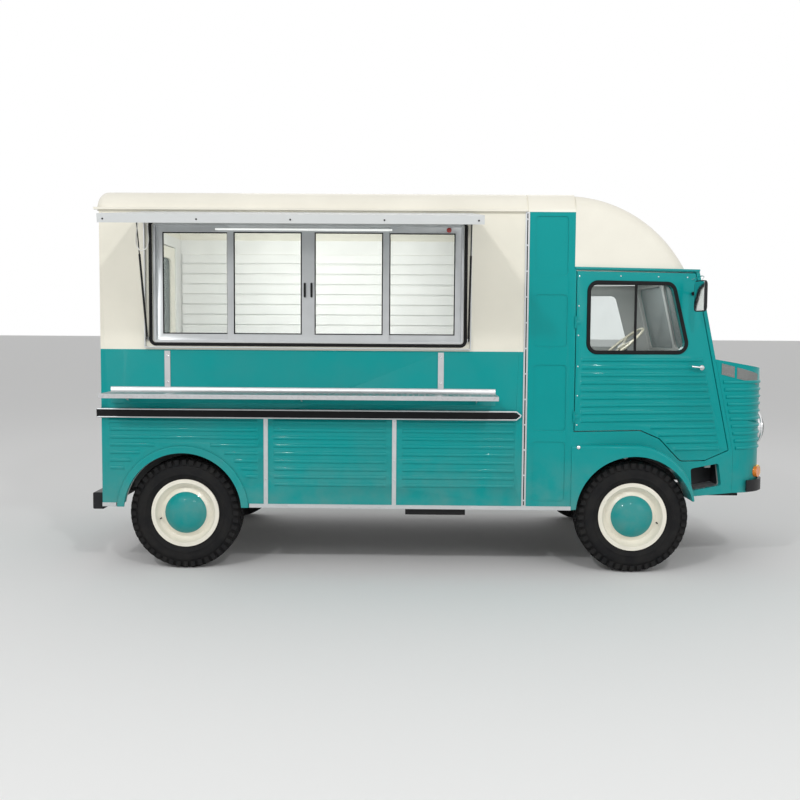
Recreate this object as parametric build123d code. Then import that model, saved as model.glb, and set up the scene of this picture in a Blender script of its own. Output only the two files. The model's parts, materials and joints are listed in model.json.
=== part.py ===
from build123d import *
import math
import os

# Food van with a serving side, built as separate pieces. Lengths in millimetres, angles in degrees.
# It is modelled about its own centre plane: +X to the front, -Y to the serving side, +Z up, and the
# wheels stand on z = 0. x = 0 is midway between the axles. At the end every piece moves by shift_x and
# shift_y, so that the origin lies under the middle of the box round the whole van.

# overall
wheelbase = 2800.0
rear_overhang = 570.0
front_overhang = 920.0
body_width = 2000.0
wall = 40.0
panel_bottom = 424.0
eaves = 2225.0
roof_rise = 175.0
paint_gap = 5.0

# wheels and axles
tyre_radius = 350.0
tyre_width = 180.0
rim_radius = 213.0
rim_width = 160.0
track = 1720.0
hub_cap_radius = 127.0
hub_cap_rise = 40.0
stub_radius = 25.0
kingpin_inset = 25.0
kingpin_radius = 16.0
steer_limit = 28.0
fit = 0.4
arch_radius = 366.0
arch_height = 371.0
arch_band = 46.0
arch_proud = 14.0
axle_tube_radius = 34.0

# chassis and floor
rail_spread = 700.0
rail_width = 60.0
rail_bottom = 400.0
rail_height = 80.0
floor_thickness = 40.0
wheel_box_gap = 40.0
wheel_box_wall = 25.0

# beads pressed into the lower panels
bead_pitch = 48.1
bead_width = 24.0
bead_rise = 8.0
bead_first = 547.0
bead_count = 9

# serving side
window_rear = -1577.0
window_length = 1908.0
window_bottom = 1420.0
window_height = 730.0
window_depth = 60.0
window_recess = 12.0
sash_bar = 40.0
sash_count = 4
seal_width = 20.0
seal_proud = 8.0
strut_gap = 19.0
trim_gap = 6.0
trim_width = 6.0
trim_proud = 26.0
flap_clearance = 5.0
flap_lip = 8.0
flap_skin = 18.0
flap_depth = 48.0
flap_droop = 7.5
flap_standoff = 5.0
hinge_drop = 22.0
hinge_radius = 6.0
strut_radius = 6.5
rod_radius = 3.5
eye_radius = 6.0
pin_radius = 3.0
strut_foot_rise = 22.0
strut_top_along = 190.0
strut_drift = 62.0
strut_drift_in = 12.0
shelf_top = 1116.0
shelf_depth = 250.0
shelf_rear = -1838.0
shelf_length = 2368.0
shelf_sheet = 6.0
shelf_lip = 26.0
shelf_upstand = 31.0
strap_width = 35.0
strap_inset_rear = 351.0
strap_inset_front = 336.0
strap_gap = 6.0

# trims
rub_bottom = 960.0
rub_height = 49.0
rub_proud = 24.0
sill_trim_height = 24.0
strip_width = 26.0
strip_proud = 5.0

# pillar panel between load space and cab
pillar_rear = 712.0
pillar_length = 292.0

# cab
cab_taper = 12.5
cab_wall = 48.0
cab_gutter = 1896.0
screen_rake = 12.7
pillar_top_x = 1763.0
pillar_face = 46.0
dome_radius = 857.0
dome_centre_z = 1464.0
dome_centre_back = 42.0
dome_edge_radius = 85.0
dome_sheet = 35.0
dome_crown = 50.0
scuttle = 1335.0
door_gap = 6.0
door_top = 1872.0
door_step = 893.0
door_low = 695.0
door_thickness = 42.0
door_swing = 70.0
door_bead_count = 13
door_bead_first = 768.0
door_bead_pitch = 46.9
seat_deck = 880.0
foot_floor = 640.0
deck_sheet = 30.0
riser_ahead = 260.0

# nose
nose_corner = 230.0
nose_sheet = 28.0
nose_bottom = 480.0
nose_slope = 60.0
nose_bead_count = 10
bumper_standoff = 8.0
bumper_sheet = 18.0
bumper_height = 74.0
bonnet_width = 1130.0
bonnet_swing = 50.0
grille_width = 660.0
grille_bottom = 600.0
grille_height = 470.0
grille_bars = 9
headlamp_radius = 95.0
headlamp_spread = 970.0
headlamp_height = 880.0
indicator_radius = 35.0

# tail
rear_bumper_depth = 70.0
rear_bumper_bottom = 377.0
rear_bumper_height = 104.0
tail_width = 1560.0
tail_bottom = 520.0
tail_split = 1325.0
tail_top = 2140.0
gate_swing = 90.0
tail_door_swing = 105.0

# inside
worktop_top = 1365.0
worktop_sheet = 35.0

# glass
pane = 5.0

half = body_width / 2
roof_crown = eaves + roof_rise
wheel_box_depth = half - track / 2 + tyre_width / 2 + wheel_box_gap
rear_axle_x = -wheelbase / 2
front_axle_x = wheelbase / 2
rear_end = rear_axle_x - rear_overhang
front_end = front_axle_x + front_overhang
body_rear = rear_end + rear_bumper_depth
pillar_front = pillar_rear + pillar_length
wall_front = pillar_rear - strip_width / 2
inner = half - wall
floor_top = rail_bottom + rail_height + floor_thickness
floor_bottom = rail_bottom + rail_height
tan_taper = math.tan(math.radians(cab_taper))
cos_taper = math.cos(math.radians(cab_taper))
tan_rake = math.tan(math.radians(screen_rake))
screen_top_x = pillar_top_x + pillar_face
nose_front = front_end - bumper_standoff - bumper_sheet


def cab_half(x):
    """Half width of the cab at x, where its sides run in towards the front."""
    return half - (x - pillar_front) * tan_taper


def screen_x(z):
    """Front face of the raked screen frame and front pillars at height z."""
    return screen_top_x + (cab_gutter - z) * tan_rake


def pillar_x(z):
    """Front edge of the cab door at height z."""
    return pillar_top_x + (cab_gutter - z) * tan_rake


def block(x0, x1, y0, y1, z0, z1):
    return Pos((x0 + x1) / 2, (y0 + y1) / 2, (z0 + z1) / 2) * Box(x1 - x0, y1 - y0, z1 - z0)


def slab_xz(sketch, y0, y1):
    """Side-view sketch (x, z) made solid from y0 to y1."""
    return extrude(Plane.XZ.offset(-y1) * sketch, amount=y1 - y0, dir=(0, -1, 0))


def slab_xy(sketch, z0, z1):
    return extrude(Plane.XY.offset(z0) * sketch, amount=z1 - z0, dir=(0, 0, 1))


def slab_yz(sketch, x0, x1):
    """Front-view sketch (y, z) made solid from x0 to x1."""
    return extrude(Plane.YZ.offset(x0) * sketch, amount=x1 - x0, dir=(1, 0, 0))


def shape(*points):
    return Polygon(*points, align=None)


def rectangle(a0, a1, b0, b1, radius=0.0):
    base = Pos((a0 + a1) / 2, (b0 + b1) / 2) * Rectangle(a1 - a0, b1 - b0)
    return fillet(base.vertices(), radius) if radius else base


def rod_y(x, z, radius, y0, y1):
    return Pos(x, (y0 + y1) / 2, z) * Rot(90, 0, 0) * Cylinder(radius, y1 - y0)


def rod_between(start, end, radius):
    line = Line(start, end)
    return extrude(Plane(origin=start, z_dir=line % 0) * Circle(radius), amount=line.length)


def other_side(solid):
    return mirror(solid, about=Plane.XZ)


def both(solid):
    return [solid, other_side(solid)]


def bead(x0, x1, z, y_face):
    """Pressed bead along X that stands out towards -Y from the plane y_face, with sloped ends."""
    arc = ThreePointArc((y_face, z - bead_width / 2), (y_face - bead_rise, z), (y_face, z + bead_width / 2))
    back = Polyline((y_face, z + bead_width / 2), (y_face + 2, z + bead_width / 2),
                    (y_face + 2, z - bead_width / 2), (y_face, z - bead_width / 2))
    # the slopes run on through the face behind, by below
    slope = bead_width / 2 / bead_rise
    above = bead_rise + 1
    below = 3.0
    body = slab_yz(make_face(arc.edges() + back.edges()), x0 - below * slope, x1 + below * slope)
    for end, out in ((x0, -1), (x1, 1)):
        wedge = shape((end + out * 20, y_face - above), (end - out * above * slope, y_face - above),
                      (end + out * below * slope, y_face + below), (end + out * 20, y_face + below))
        body -= slab_xy(wedge, z - bead_width, z + bead_width)
    return body


def cab_side(local):
    """Places a piece drawn with its outer face on y = 0 and its rear edge on x = 0 on the cab's side."""
    return Pos(pillar_front, -half, 0) * Rot(0, 0, cab_taper) * local


def along(x):
    """Distance along the cab's tapered side that shows as x in the side view."""
    return (x - pillar_front) / cos_taper


# surface hinges

leaf_length = 32.0
leaf_sheet = 4.0
leaf_height = 70.0


def hinge_leaf(place, moving, barrel, seat=0.0):
    """Half of a surface hinge. Its barrel runs along the local Z axis, the moving leaf lies on +X and both
    leaves rest on the faces behind them at y = barrel + 1, or are let in by seat below that."""
    knuckle_height = leaf_height / 3 - 0.6
    if moving:
        body = Cylinder(barrel, knuckle_height)
        body += block(0, leaf_length, barrel + 1 - leaf_sheet, barrel + 1 + seat, -knuckle_height / 2,
                      knuckle_height / 2)
        body -= Cylinder(barrel / 2 + fit, leaf_height * 2)
        return place * body
    body = Cylinder(barrel / 2, leaf_height)
    for level in (-1, 1):
        z0 = level * leaf_height / 6
        z1 = level * leaf_height / 2
        body += Pos(0, 0, (z0 + z1) / 2) * Cylinder(barrel, leaf_height / 3)
        body += block(-leaf_length, 0, barrel + 1 - leaf_sheet, barrel + 1 + seat, min(z0, z1), max(z0, z1))
    return place * body


tail_barrel = 8.0
tail_axis_x = body_rear - tail_barrel - 1
tail_axis_y = tail_width / 2 + paint_gap / 2
gate_axis_z = tail_top + paint_gap / 2


def tail_door_hinges(moving):
    """Hinges of the right tail door: the door lies on +Y of the axis, its faces towards +X."""
    return [hinge_leaf(Plane((tail_axis_x, -tail_axis_y, z), (0, 1, 0), (0, 0, -1)).location, moving, tail_barrel)
            for z in (tail_bottom + 130, tail_split - 130)]


def gate_hinges(moving):
    """Hinges of the gate above: the gate hangs on -Z of the axis."""
    return [hinge_leaf(Plane((tail_axis_x, y, gate_axis_z), (0, 0, -1), (0, -1, 0)).location, moving, tail_barrel)
            for y in (-480.0, 480.0)]


door_barrel = 6.0
door_axis_along = 8.0


def cab_door_hinges(moving):
    """Hinges of the right cab door, drawn flat like the cab side."""
    return [hinge_leaf(Pos(door_axis_along, -door_barrel - 1, z), moving, door_barrel) for z in (980.0, 1560.0)]


# load body sides

def arch_hole(x, y0, y1, radius=arch_radius):
    return rod_y(x, arch_height, radius, y0, y1)


def arch_flare(x, y_face):
    """Rounded band round a wheel arch, clipped at the sill."""
    ring = rod_y(x, arch_height, arch_radius + arch_band, y_face - arch_proud, y_face + 2)
    ring = fillet(ring.edges().filter_by(GeomType.CIRCLE).sort_by(Axis.Y)[0], arch_proud * 0.8)
    ring -= arch_hole(x, y_face - arch_proud - 5, y_face + 10)
    return ring - block(x - 600, x + 600, y_face - 60, y_face + 60, -200, panel_bottom - sill_trim_height)


window_front = window_rear + window_length
window_top = window_bottom + window_height
divider_at = (-883.0, -89.0)
panel_inset = 46.0
arch_inset = 38.0


def side_beads():
    """Beads of the three lower panels, ended short of the dividers and of the wheel arch."""
    starts = (body_rear,) + divider_at
    ends = divider_at + (wall_front,)
    found = []
    for row in range(bead_count):
        z = bead_first + row * bead_pitch
        for start, end in zip(starts, ends):
            x0 = start + panel_inset
            x1 = end - panel_inset
            reach = arch_radius + arch_band + arch_inset
            rise = abs(z - arch_height)
            if x0 < rear_axle_x < x1 and rise < reach:
                cut = math.sqrt(reach ** 2 - rise ** 2)
                spans = ((x0, rear_axle_x - cut), (rear_axle_x + cut, x1))
            else:
                spans = ((x0, x1),)
            for a, b in spans:
                if b - a > 3 * bead_width:
                    found.append(bead(a, b, z, -half))
    return found


def side_wall():
    """Load body side of the serving side, with its beads and wheel arch and no opening yet."""
    sheet = block(body_rear, wall_front, -half, -inner, panel_bottom, eaves)
    sheet -= arch_hole(rear_axle_x, -half - 1, -inner + 1)
    flare = arch_flare(rear_axle_x, -half) - block(rear_axle_x - 600, rear_axle_x + 600, -half, -half + 5,
                                                   0, panel_bottom)
    return sheet + side_beads() + flare


def side_wall_right():
    hole = rectangle(window_rear, window_front, window_bottom, window_top, seal_width)
    return side_wall() - slab_xz(hole, -half - 1, -inner + 1)


def side_wall_left():
    return other_side(side_wall())


def rear_frame():
    """Corner posts, header and sill round the gate and the two lower doors."""
    y0 = tail_width / 2 + paint_gap
    frame = block(body_rear, body_rear + wall, -inner, inner, floor_top - floor_thickness, eaves)
    frame -= block(body_rear - 1, body_rear + wall + 1, -y0, y0, tail_bottom - paint_gap, tail_top + paint_gap)
    leaves = tail_door_hinges(False)
    return frame + leaves + [other_side(leaf) for leaf in leaves] + gate_hinges(False)


def roof_section(drop, side_inset):
    """Cross-section of the roof: crowned top, round shoulders, straight foot at the eaves."""
    y = half - side_inset
    crown = roof_crown - drop
    shoulder = eaves + 120 - drop
    top = ThreePointArc((-y + 150, shoulder), (0, crown), (y - 150, shoulder))
    right = ThreePointArc((-y, eaves), (-y + 40, shoulder - 38), (-y + 150, shoulder))
    left = ThreePointArc((y - 150, shoulder), (y - 40, shoulder - 38), (y, eaves))
    foot = Line((y, eaves), (-y, eaves))
    return make_face(top.edges() + right.edges() + left.edges() + foot.edges())


roof_sheet = 35.0
roof_tail = 27.0
roof_end_radius = 60.0
gutter_proud = 22.0
gutter_height = 14.0


def roof():
    x0 = body_rear - roof_tail
    outer = slab_yz(roof_section(0, 0), x0, pillar_front)
    rear_edges = outer.faces().sort_by(Axis.X)[0].edges().sort_by(Axis.Z)[1:]
    outer = fillet(rear_edges, roof_end_radius)
    shell = outer - slab_yz(roof_section(roof_sheet, roof_sheet), body_rear + wall, pillar_front + 1)
    seam = outer - slab_yz(roof_section(4, 4), x0 - 1, pillar_front + 1)
    seam &= block(pillar_rear - 4, pillar_rear + 4, -half - 50, half + 50, eaves, roof_crown + 50)
    shell -= seam
    lips = [block(x0, pillar_rear, -half - gutter_proud, -half + 2, eaves, eaves + gutter_height)]
    lips.append(other_side(lips[0]))
    return shell + lips


def centre_pillars():
    """Panel each side between load space and cab, with four pressed fields."""
    # lower edge, upper edge
    fields = ((455, 825), (893, 1298), (1408, 1727), (1843, 2200))
    panel = block(pillar_rear + strip_width / 2, pillar_front, -half, -inner, panel_bottom, eaves)
    for low, high in fields:
        mark = rectangle(pillar_rear + 50, pillar_front - 42, low, high, 22)
        panel -= slab_xz(mark, -half - 1, -half + 5)
    return both(panel)


def vertical_strips():
    """Aluminium strips over the panel joints and along the sills, with the flap's hinge rail."""
    found = []
    for x in divider_at:
        found.append(block(x - strip_width / 2, x + strip_width / 2, -half - strip_proud, -half,
                           panel_bottom, rub_bottom))
    found.append(block(pillar_rear - strip_width / 2, pillar_rear + strip_width / 2, -half - strip_proud,
                       -inner, panel_bottom, eaves))
    found += [other_side(piece) for piece in found]
    sill_rear = (body_rear, rear_axle_x - arch_radius - arch_band - 2)
    sill_front = (rear_axle_x + arch_radius + arch_band + 2, pillar_front)
    for x0, x1 in (sill_rear, sill_front):
        piece = block(x0, x1, -half - strip_proud, -half + 30, panel_bottom - sill_trim_height, panel_bottom)
        found += both(piece)
    return found


# serving side

side_margin = seal_width + strut_gap + trim_width + flap_clearance + flap_lip
flap_rear = window_rear - side_margin
flap_front = window_front + side_margin
hinge_y = -half - flap_depth
hinge_z = eaves - hinge_drop
strut_inset = flap_lip + flap_clearance + trim_width + strut_gap / 2
strut_rows = (("rear", flap_rear + strut_inset), ("front", flap_front - strut_inset))


def opening_trims():
    """Aluminium angle round the rubber, inside the closed flap, and the rail that carries the flap."""
    gap = seal_width + strut_gap
    low = window_bottom - seal_width - trim_gap
    rail_foot = hinge_z - 26
    outer = rectangle(window_rear - gap - trim_width, window_front + gap + trim_width, low - trim_width,
                      rail_foot - 6)
    hole = rectangle(window_rear - gap, window_front + gap, low, rail_foot)
    angle = slab_xz(outer - hole, -half - trim_proud, -half)
    x0 = window_rear - gap - trim_width
    x1 = window_front + gap + trim_width
    rail = block(x0, x1, hinge_y + 18, -half, rail_foot, hinge_z + 4)
    arm = block(x0, x1, hinge_y + 3, hinge_y + 19, hinge_z - 1, hinge_z + 4)
    barrel = Pos((x0 + x1) / 2, hinge_y, hinge_z) * Rot(0, 90, 0) * Cylinder(hinge_radius, x1 - x0)
    return [angle, rail + arm + barrel]


def window_seal():
    ring = rectangle(window_rear - seal_width, window_front + seal_width, window_bottom - seal_width,
                     window_top + seal_width, 2 * seal_width)
    ring -= rectangle(window_rear, window_front, window_bottom, window_top, seal_width)
    ring = slab_xz(ring, -half - seal_proud, -half)
    return fillet(ring.edges().group_by(Axis.Y)[0], 4)


def rub_strips():
    """Rubber strip along each side, pointed at its front end."""
    z0 = rub_bottom
    z1 = rub_bottom + rub_height
    tip = wall_front - 12
    outline = shape((body_rear - 24, z0), (tip - 50, z0), (tip, (z0 + z1) / 2), (tip - 50, z1),
                    (body_rear - 24, z1))
    strip = slab_xz(outline, -half - rub_proud, -half)
    strip += block(body_rear - 24, body_rear, -half - rub_proud, -tail_width / 2 - 30, z0, z1)
    return both(strip)


sash_length = window_length / sash_count
frame_rail = 16.0


def serving_window():
    """Aluminium frame with four sashes: the inner pair runs behind the outer pair."""
    y0 = -half + window_recess
    y1 = y0 + window_depth
    frame = rectangle(window_rear, window_front, window_bottom, window_top, seal_width)
    frame -= rectangle(window_rear + frame_rail, window_front - frame_rail, window_bottom + frame_rail,
                       window_top - frame_rail)
    found = slab_xz(frame, y0, y1)
    for index in range(sash_count):
        x0, x1, z0, z1, y = sash_box(index)
        ring = rectangle(x0, x1, z0, z1) - rectangle(x0 + sash_bar, x1 - sash_bar, z0 + sash_bar, z1 - sash_bar)
        found += slab_xz(ring, y, y + sash_sheet)
    return found


sash_sheet = 20.0


def sash_box(index):
    """Corners of one sash and its front plane."""
    lap = sash_bar / 2
    x0 = window_rear + index * sash_length
    x1 = x0 + sash_length
    x0 += {0: frame_rail - 2, 2: 0}.get(index, -lap)
    x1 += {1: 0, 3: 2 - frame_rail}.get(index, lap)
    z0 = window_bottom + frame_rail - 2
    z1 = window_top - frame_rail + 2
    outside = index in (1, 2)
    y = -half + window_recess + (6 if outside else 6 + sash_sheet + 6)
    return x0, x1, z0, z1, y


def serving_panes():
    found = []
    for index in range(sash_count):
        x0, x1, z0, z1, y = sash_box(index)
        hole = rectangle(x0 + sash_bar, x1 - sash_bar, z0 + sash_bar, z1 - sash_bar)
        middle = y + sash_sheet / 2
        found.append(slab_xz(hole, middle - pane / 2, middle + pane / 2))
    return found


def place_flap(local):
    """Turns a piece drawn on the closed flap up to where the flap stands open."""
    turn = Pos(0, hinge_y, hinge_z) * Rot(-(90 - flap_droop), 0, 0) * Pos(0, -hinge_y, -hinge_z)
    return turn * local


flap_top = hinge_z - 4
flap_bottom = window_bottom - seal_width - trim_gap - trim_width - flap_clearance - flap_lip
flap_inner = -half - flap_standoff
flap_face = -half - flap_depth - flap_skin / 4
flap_eye_y = flap_inner - 15


def serving_flap():
    """Lid of the serving side: a skin with turned lips, a hinge leaf and two strut lugs."""
    body = block(flap_rear, flap_front, flap_face, flap_inner, flap_bottom, flap_top)
    body -= block(flap_rear + flap_lip, flap_front - flap_lip, flap_face + flap_skin, flap_inner + 1,
                  flap_bottom + flap_lip, flap_top + 1)
    body -= Pos((flap_rear + flap_front) / 2, hinge_y, hinge_z) * Rot(0, 90, 0) * Cylinder(
        hinge_radius + fit, flap_front - flap_rear + 2)
    lug_z = hinge_z - strut_top_along
    for name, x in strut_rows:
        toward = 1 if name == "rear" else -1
        body -= block(x - eye_length, x + eye_length, flap_face + flap_skin - strut_drift_in, flap_inner + 1,
                      lug_z - 12, lug_z + strut_drift + 14)
        near = x + toward * (eye_length / 2 + 1.5)
        far = near + toward * 4
        body += block(min(near, far), max(near, far), flap_face + 2, flap_eye_y + eye_radius - 1,
                      lug_z - 11, lug_z + 11)
    return place_flap(body)


# gas struts, drawn in the plane x = const: foot on the wall, eye on the flap

eye_length = 8.0
foot_y = -half - 16
foot_z = window_bottom + strut_foot_rise
turned = math.radians(90 - flap_droop)
eye_out = flap_eye_y - hinge_y
eye_y = hinge_y + eye_out * math.cos(turned) - strut_top_along * math.sin(turned)
eye_z = hinge_z - eye_out * math.sin(turned) - strut_top_along * math.cos(turned)
strut_span = math.hypot(eye_y - foot_y, eye_z - foot_z)
strut_lean = math.degrees(math.atan2(foot_y - eye_y, eye_z - foot_z))
closed_span = math.hypot(flap_eye_y - foot_y, hinge_z - strut_top_along - foot_z)
strut_stroke = strut_span - closed_span
tube_length = closed_span - 60
rod_start = 40.0


def strut_frame(x):
    """Placement with its foot at the origin and +Z along the strut to its eye."""
    return Pos(x, foot_y, foot_z) * Rot(strut_lean, 0, 0)


def strut_tube(x):
    tube = Pos(0, 0, 14 + tube_length / 2) * Cylinder(strut_radius, tube_length)
    tube = fillet(tube.edges().sort_by(Axis.Z)[-1], 1.5)
    tube += Rot(0, 90, 0) * Cylinder(eye_radius, eye_length)
    tube += Pos(0, 0, 9) * Cylinder(rod_radius, 14)
    tube -= Rot(0, 90, 0) * Cylinder(pin_radius + fit, 30)
    tube -= Pos(0, 0, 14 + rod_start + tube_length / 2) * Cylinder(rod_radius + fit, tube_length)
    return strut_frame(x) * tube


def strut_rod(x):
    start = 14 + tube_length - 30
    rod = Pos(0, 0, (start + strut_span - 12) / 2) * Cylinder(rod_radius, strut_span - 12 - start)
    rod += Pos(0, 0, strut_span) * Rot(0, 90, 0) * Cylinder(eye_radius, eye_length)
    rod += Pos(0, 0, strut_span - 9) * Cylinder(rod_radius, 8)
    rod -= Pos(0, 0, strut_span) * Rot(0, 90, 0) * Cylinder(pin_radius + fit, 30)
    return strut_frame(x) * rod


def strut_feet():
    """Pin and plate on the wall for each strut."""
    found = []
    for name, x in strut_rows:
        toward = 1 if name == "rear" else -1
        pin = Pos(x, foot_y, foot_z) * Rot(0, 90, 0) * Cylinder(pin_radius, eye_length + 2)
        side = x + toward * (eye_length / 2 + 1)
        ear = block(min(side, side + toward * 3), max(side, side + toward * 3), foot_y - 6, -half,
                    foot_z - 12, foot_z + 12)
        found.append(pin + ear)
    return found


def serving_shelf():
    """Tread-plate counter outside, with upstand, front lip, two straps and three gussets."""
    x0 = shelf_rear
    x1 = shelf_rear + shelf_length
    y0 = -half - shelf_depth
    body = block(x0, x1, y0, -half, shelf_top - shelf_sheet, shelf_top)
    body += block(x0, x1, y0, y0 + shelf_sheet, shelf_top - shelf_lip, shelf_top)
    body += block(x0, x1, -half - shelf_sheet, -half, shelf_top - 70, shelf_top + shelf_upstand)
    # centre of each strap
    for x in (x0 + strap_inset_rear, x1 - strap_inset_front):
        body += block(x - strap_width / 2, x + strap_width / 2, -half - shelf_sheet, -half,
                      shelf_top, flap_bottom - strap_gap)
    for x in (x0 + 120, (x0 + x1) / 2, x1 - 120):
        web = shape((-half - shelf_sheet, shelf_top - 2), (y0 + 40, shelf_top - 2),
                    (-half - shelf_sheet, shelf_top - 68))
        body += slab_yz(web, x - 3, x + 3)
    return body


# cord under the flap, with both ends on it

cord_radius = 3.0
cord_rear_x = window_rear + 112
# x from cord_rear_x, distance out from the hinge line, height under the flap's skin
cord_points = ((0, 652, 0), (-1, 653, -36), (-7, 655, -84), (-11, 656, -130), (-3, 657, -170),
               (22, 658, -188), (49, 657, -168), (58, 656, -128), (54, 655, -82), (50, 653, -36), (49, 652, 0))


def flap_underside(out):
    """Height of the open flap's underside at a distance out from the hinge line."""
    down = math.radians(flap_droop)
    return hinge_z - out * math.tan(down) - (flap_face + flap_skin - hinge_y) / math.cos(down)


def cord_route():
    base = flap_underside(cord_points[0][1]) - 0.5
    return [(cord_rear_x + dx, hinge_y - out, base + down) for dx, out, down in cord_points]


def pull_cord():
    route = [Vector(*point) for point in cord_route()]
    radii = []
    for a, b, c in zip(route, route[1:], route[2:]):
        run_in = b - a
        run_out = c - b
        turn = run_in.get_angle(run_out)
        shorter = min(run_in.length, run_out.length)
        radii.append(0.45 * shorter / math.tan(math.radians(turn / 2)))
    path = FilletPolyline(*route, radius=radii)
    tube = sweep(Plane(origin=path @ 0, z_dir=path % 0) * Circle(cord_radius), path=path)
    print("cord radii", [round(radius) for radius in radii], "length", round(path.length, 1))
    print("cord volume over section times length",
          round(tube.volume / (math.pi * cord_radius ** 2 * path.length), 4))
    return tube


# cab

def door_outline(grow=0.0):
    """Side view of the cab door along the tapered side: raked front, high step over the wheel."""
    front_low = 757.0
    points = [(0.0, door_step), (along(1431), door_step), (along(1560), 838), (along(1640), 755),
              (along(1701), door_low), (along(1863), door_low), (along(pillar_x(front_low)), front_low),
              (along(pillar_x(door_top)), door_top), (0.0, door_top)]
    outline = shape(*points)
    corners = outline.vertices().sort_by(Axis.X)
    outline = fillet(corners[2:6], 40)
    return offset(outline, grow) if grow else outline


door_set = 16.0
window_corner = 60.0


def door_window(grow=0.0):
    """Cab door window, raked like the front pillar."""
    low = 1365.0
    high = 1817.0
    outline = shape((along(1084), low), (along(1767), low), (along(1650), high), (along(1084), high))
    outline = fillet(outline.vertices(), window_corner + 10)
    return offset(outline, grow) if grow else outline


door_seal = 30.0


def shift_sketch(sketch, dx):
    return Pos(dx, 0) * sketch


def door_skin():
    """Cab door drawn flat: a slab with its window cut and its beads."""
    outline = shift_sketch(door_outline(), door_set)
    body = slab_xz(outline, 0, door_thickness)
    body -= slab_xz(shift_sketch(door_window(-door_seal + 8), 0), -1, door_thickness + 1)
    front_edge = 42.0
    rear_edge = 34.0
    rows = []
    for row in range(door_bead_count):
        z = door_bead_first + row * door_bead_pitch
        x0 = rear_edge + door_set
        if z < door_step + 40:
            x0 = along(1478 + (door_step + 40 - z) * 1.15)
        rows.append(bead(x0, along(pillar_x(z)) - front_edge, z, 0))
    return body + rows + cab_door_hinges(True)


def cab_door_right():
    return cab_side(door_skin())


def cab_door_left():
    return Pos(pillar_front, half, 0) * Rot(0, 0, -cab_taper) * other_side(door_skin())


def door_glass():
    ring = door_window(-door_seal + 8)
    middle = door_thickness / 2
    return cab_side(slab_xz(ring, middle - pane / 2, middle + pane / 2))


mirror_height = 1745.0


def door_fittings():
    """Window rubber, lever handle and mirror, all on the door."""
    ring = door_window() - door_window(-door_seal + 6)
    rubber = slab_xz(ring, -seal_proud, 0)
    rubber = fillet(rubber.edges().group_by(Axis.Y)[0], 5)
    bar_x = along(1395)
    rubber += slab_xz(rectangle(bar_x - 7, bar_x + 7, 1380, 1800), -seal_proud, 0)
    z = 1283.0
    x = along(pillar_x(z)) - 70
    boss = rod_y(x, z, 16, -22, 0) + rod_y(x, z, 8, -40, -20) - door_skin()
    lever = boss + rod_between((x, -36, z), (x - 78, -36, z + 8), 6)
    mx = along(pillar_x(mirror_height)) - 26
    arm = rod_y(mx, mirror_height, 12, -14, 0)
    arm += rod_between((mx, -10, mirror_height), (mx - 30, -130, mirror_height + 25), 6)
    head = Pos(mx - 30, -150, mirror_height - 20) * Box(18, 130, 190)
    head = fillet(head.edges().filter_by(Axis.X), 30)
    return [cab_side(piece) for piece in (rubber, lever, arm + head)]


def cab_prism(inset, z0, z1, x0, x1):
    """Space between the cab's two sides, inset from their outer faces."""
    skew = inset / cos_taper
    plan = shape((x0, -cab_half(x0) + skew), (x1, -cab_half(x1) + skew), (x1, cab_half(x1) - skew),
                 (x0, cab_half(x0) - skew))
    return slab_xy(plan, z0, z1)


step_box = (1790.0, 1985.0, 500.0, 672.0)
step_depth = 90.0


def step_room(grow):
    """Space of the step behind its pocket, drawn flat like the cab side."""
    x0, x1, z0, z1 = step_box
    return block(along(x0) - 4 - grow, along(x1) + 12 + grow, cab_wall - (0 if grow else 1),
                 cab_wall + step_depth + grow, z0 - 6 - grow, z1 + 6 + grow)


def cab_side_frame():
    """Side of the cab round the door: sill strip, arch, front pillar and the pocket of the step."""
    low = 462.0
    front = pillar_face / cos_taper
    outline = shape((0, panel_bottom), (0, cab_gutter), (along(pillar_x(cab_gutter)) + front, cab_gutter),
                    (along(pillar_x(740)) + front, 740), (along(pillar_x(740)) + front, nose_bottom),
                    (along(1765), low), (along(1700), low - 30), (along(1080), panel_bottom))
    body = slab_xz(outline, 0, cab_wall)
    body -= slab_xz(shift_sketch(door_outline(door_gap), door_set), -1, cab_wall + 1)
    x0, x1, z0, z1 = step_box
    pocket = shape((along(x0) + 8, z0), (along(x1) + 12, z0 + 30), (along(x1) - 10, z1), (along(x0) - 4, z1 - 30))
    body -= slab_xz(fillet(pocket.vertices(), 16), -1, cab_wall + 1)
    gutter = block(0, along(pillar_x(cab_gutter)) + front, -12, 2, cab_gutter - 12, cab_gutter)
    tray = step_room(8) - step_room(0)
    body += [leaf - block(-100, 0, -50, 50, 0, eaves) for leaf in cab_door_hinges(False)]
    placed = cab_side(body + gutter + tray) - arch_hole(front_axle_x, -half - 100, -half + 400)
    return placed - block(pillar_front - 50, pillar_front, -half - 50, -half + 100, 0, eaves)


def cab_shell():
    """Both cab sides with the raked screen frame, header and scuttle between them."""
    sides = both(cab_side_frame())
    z_low = scuttle - 60
    frame = shape((screen_x(cab_gutter) - wall, cab_gutter), (screen_x(cab_gutter), cab_gutter),
                  (screen_x(z_low), z_low), (screen_x(z_low) - wall, z_low))
    frame = slab_xz(frame, -half, half)
    frame &= cab_prism(cab_wall - 1, 0, 3000, pillar_front, nose_front)
    for side in (-1, 1):
        frame -= slab_yz(screen_hole(side), pillar_front, nose_front)
    header = cab_prism(cab_wall - 1, cab_gutter - 18, cab_gutter, pillar_top_x - 130, screen_top_x - 6)
    fire = cab_prism(cab_wall - 1, foot_floor, scuttle, screen_x(scuttle) - 40, screen_x(scuttle))
    fire -= block(1500, 2400, -290, 290, foot_floor - 1, seat_deck + 60)
    return sides[0] + sides[1] + frame + header + fire


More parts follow.
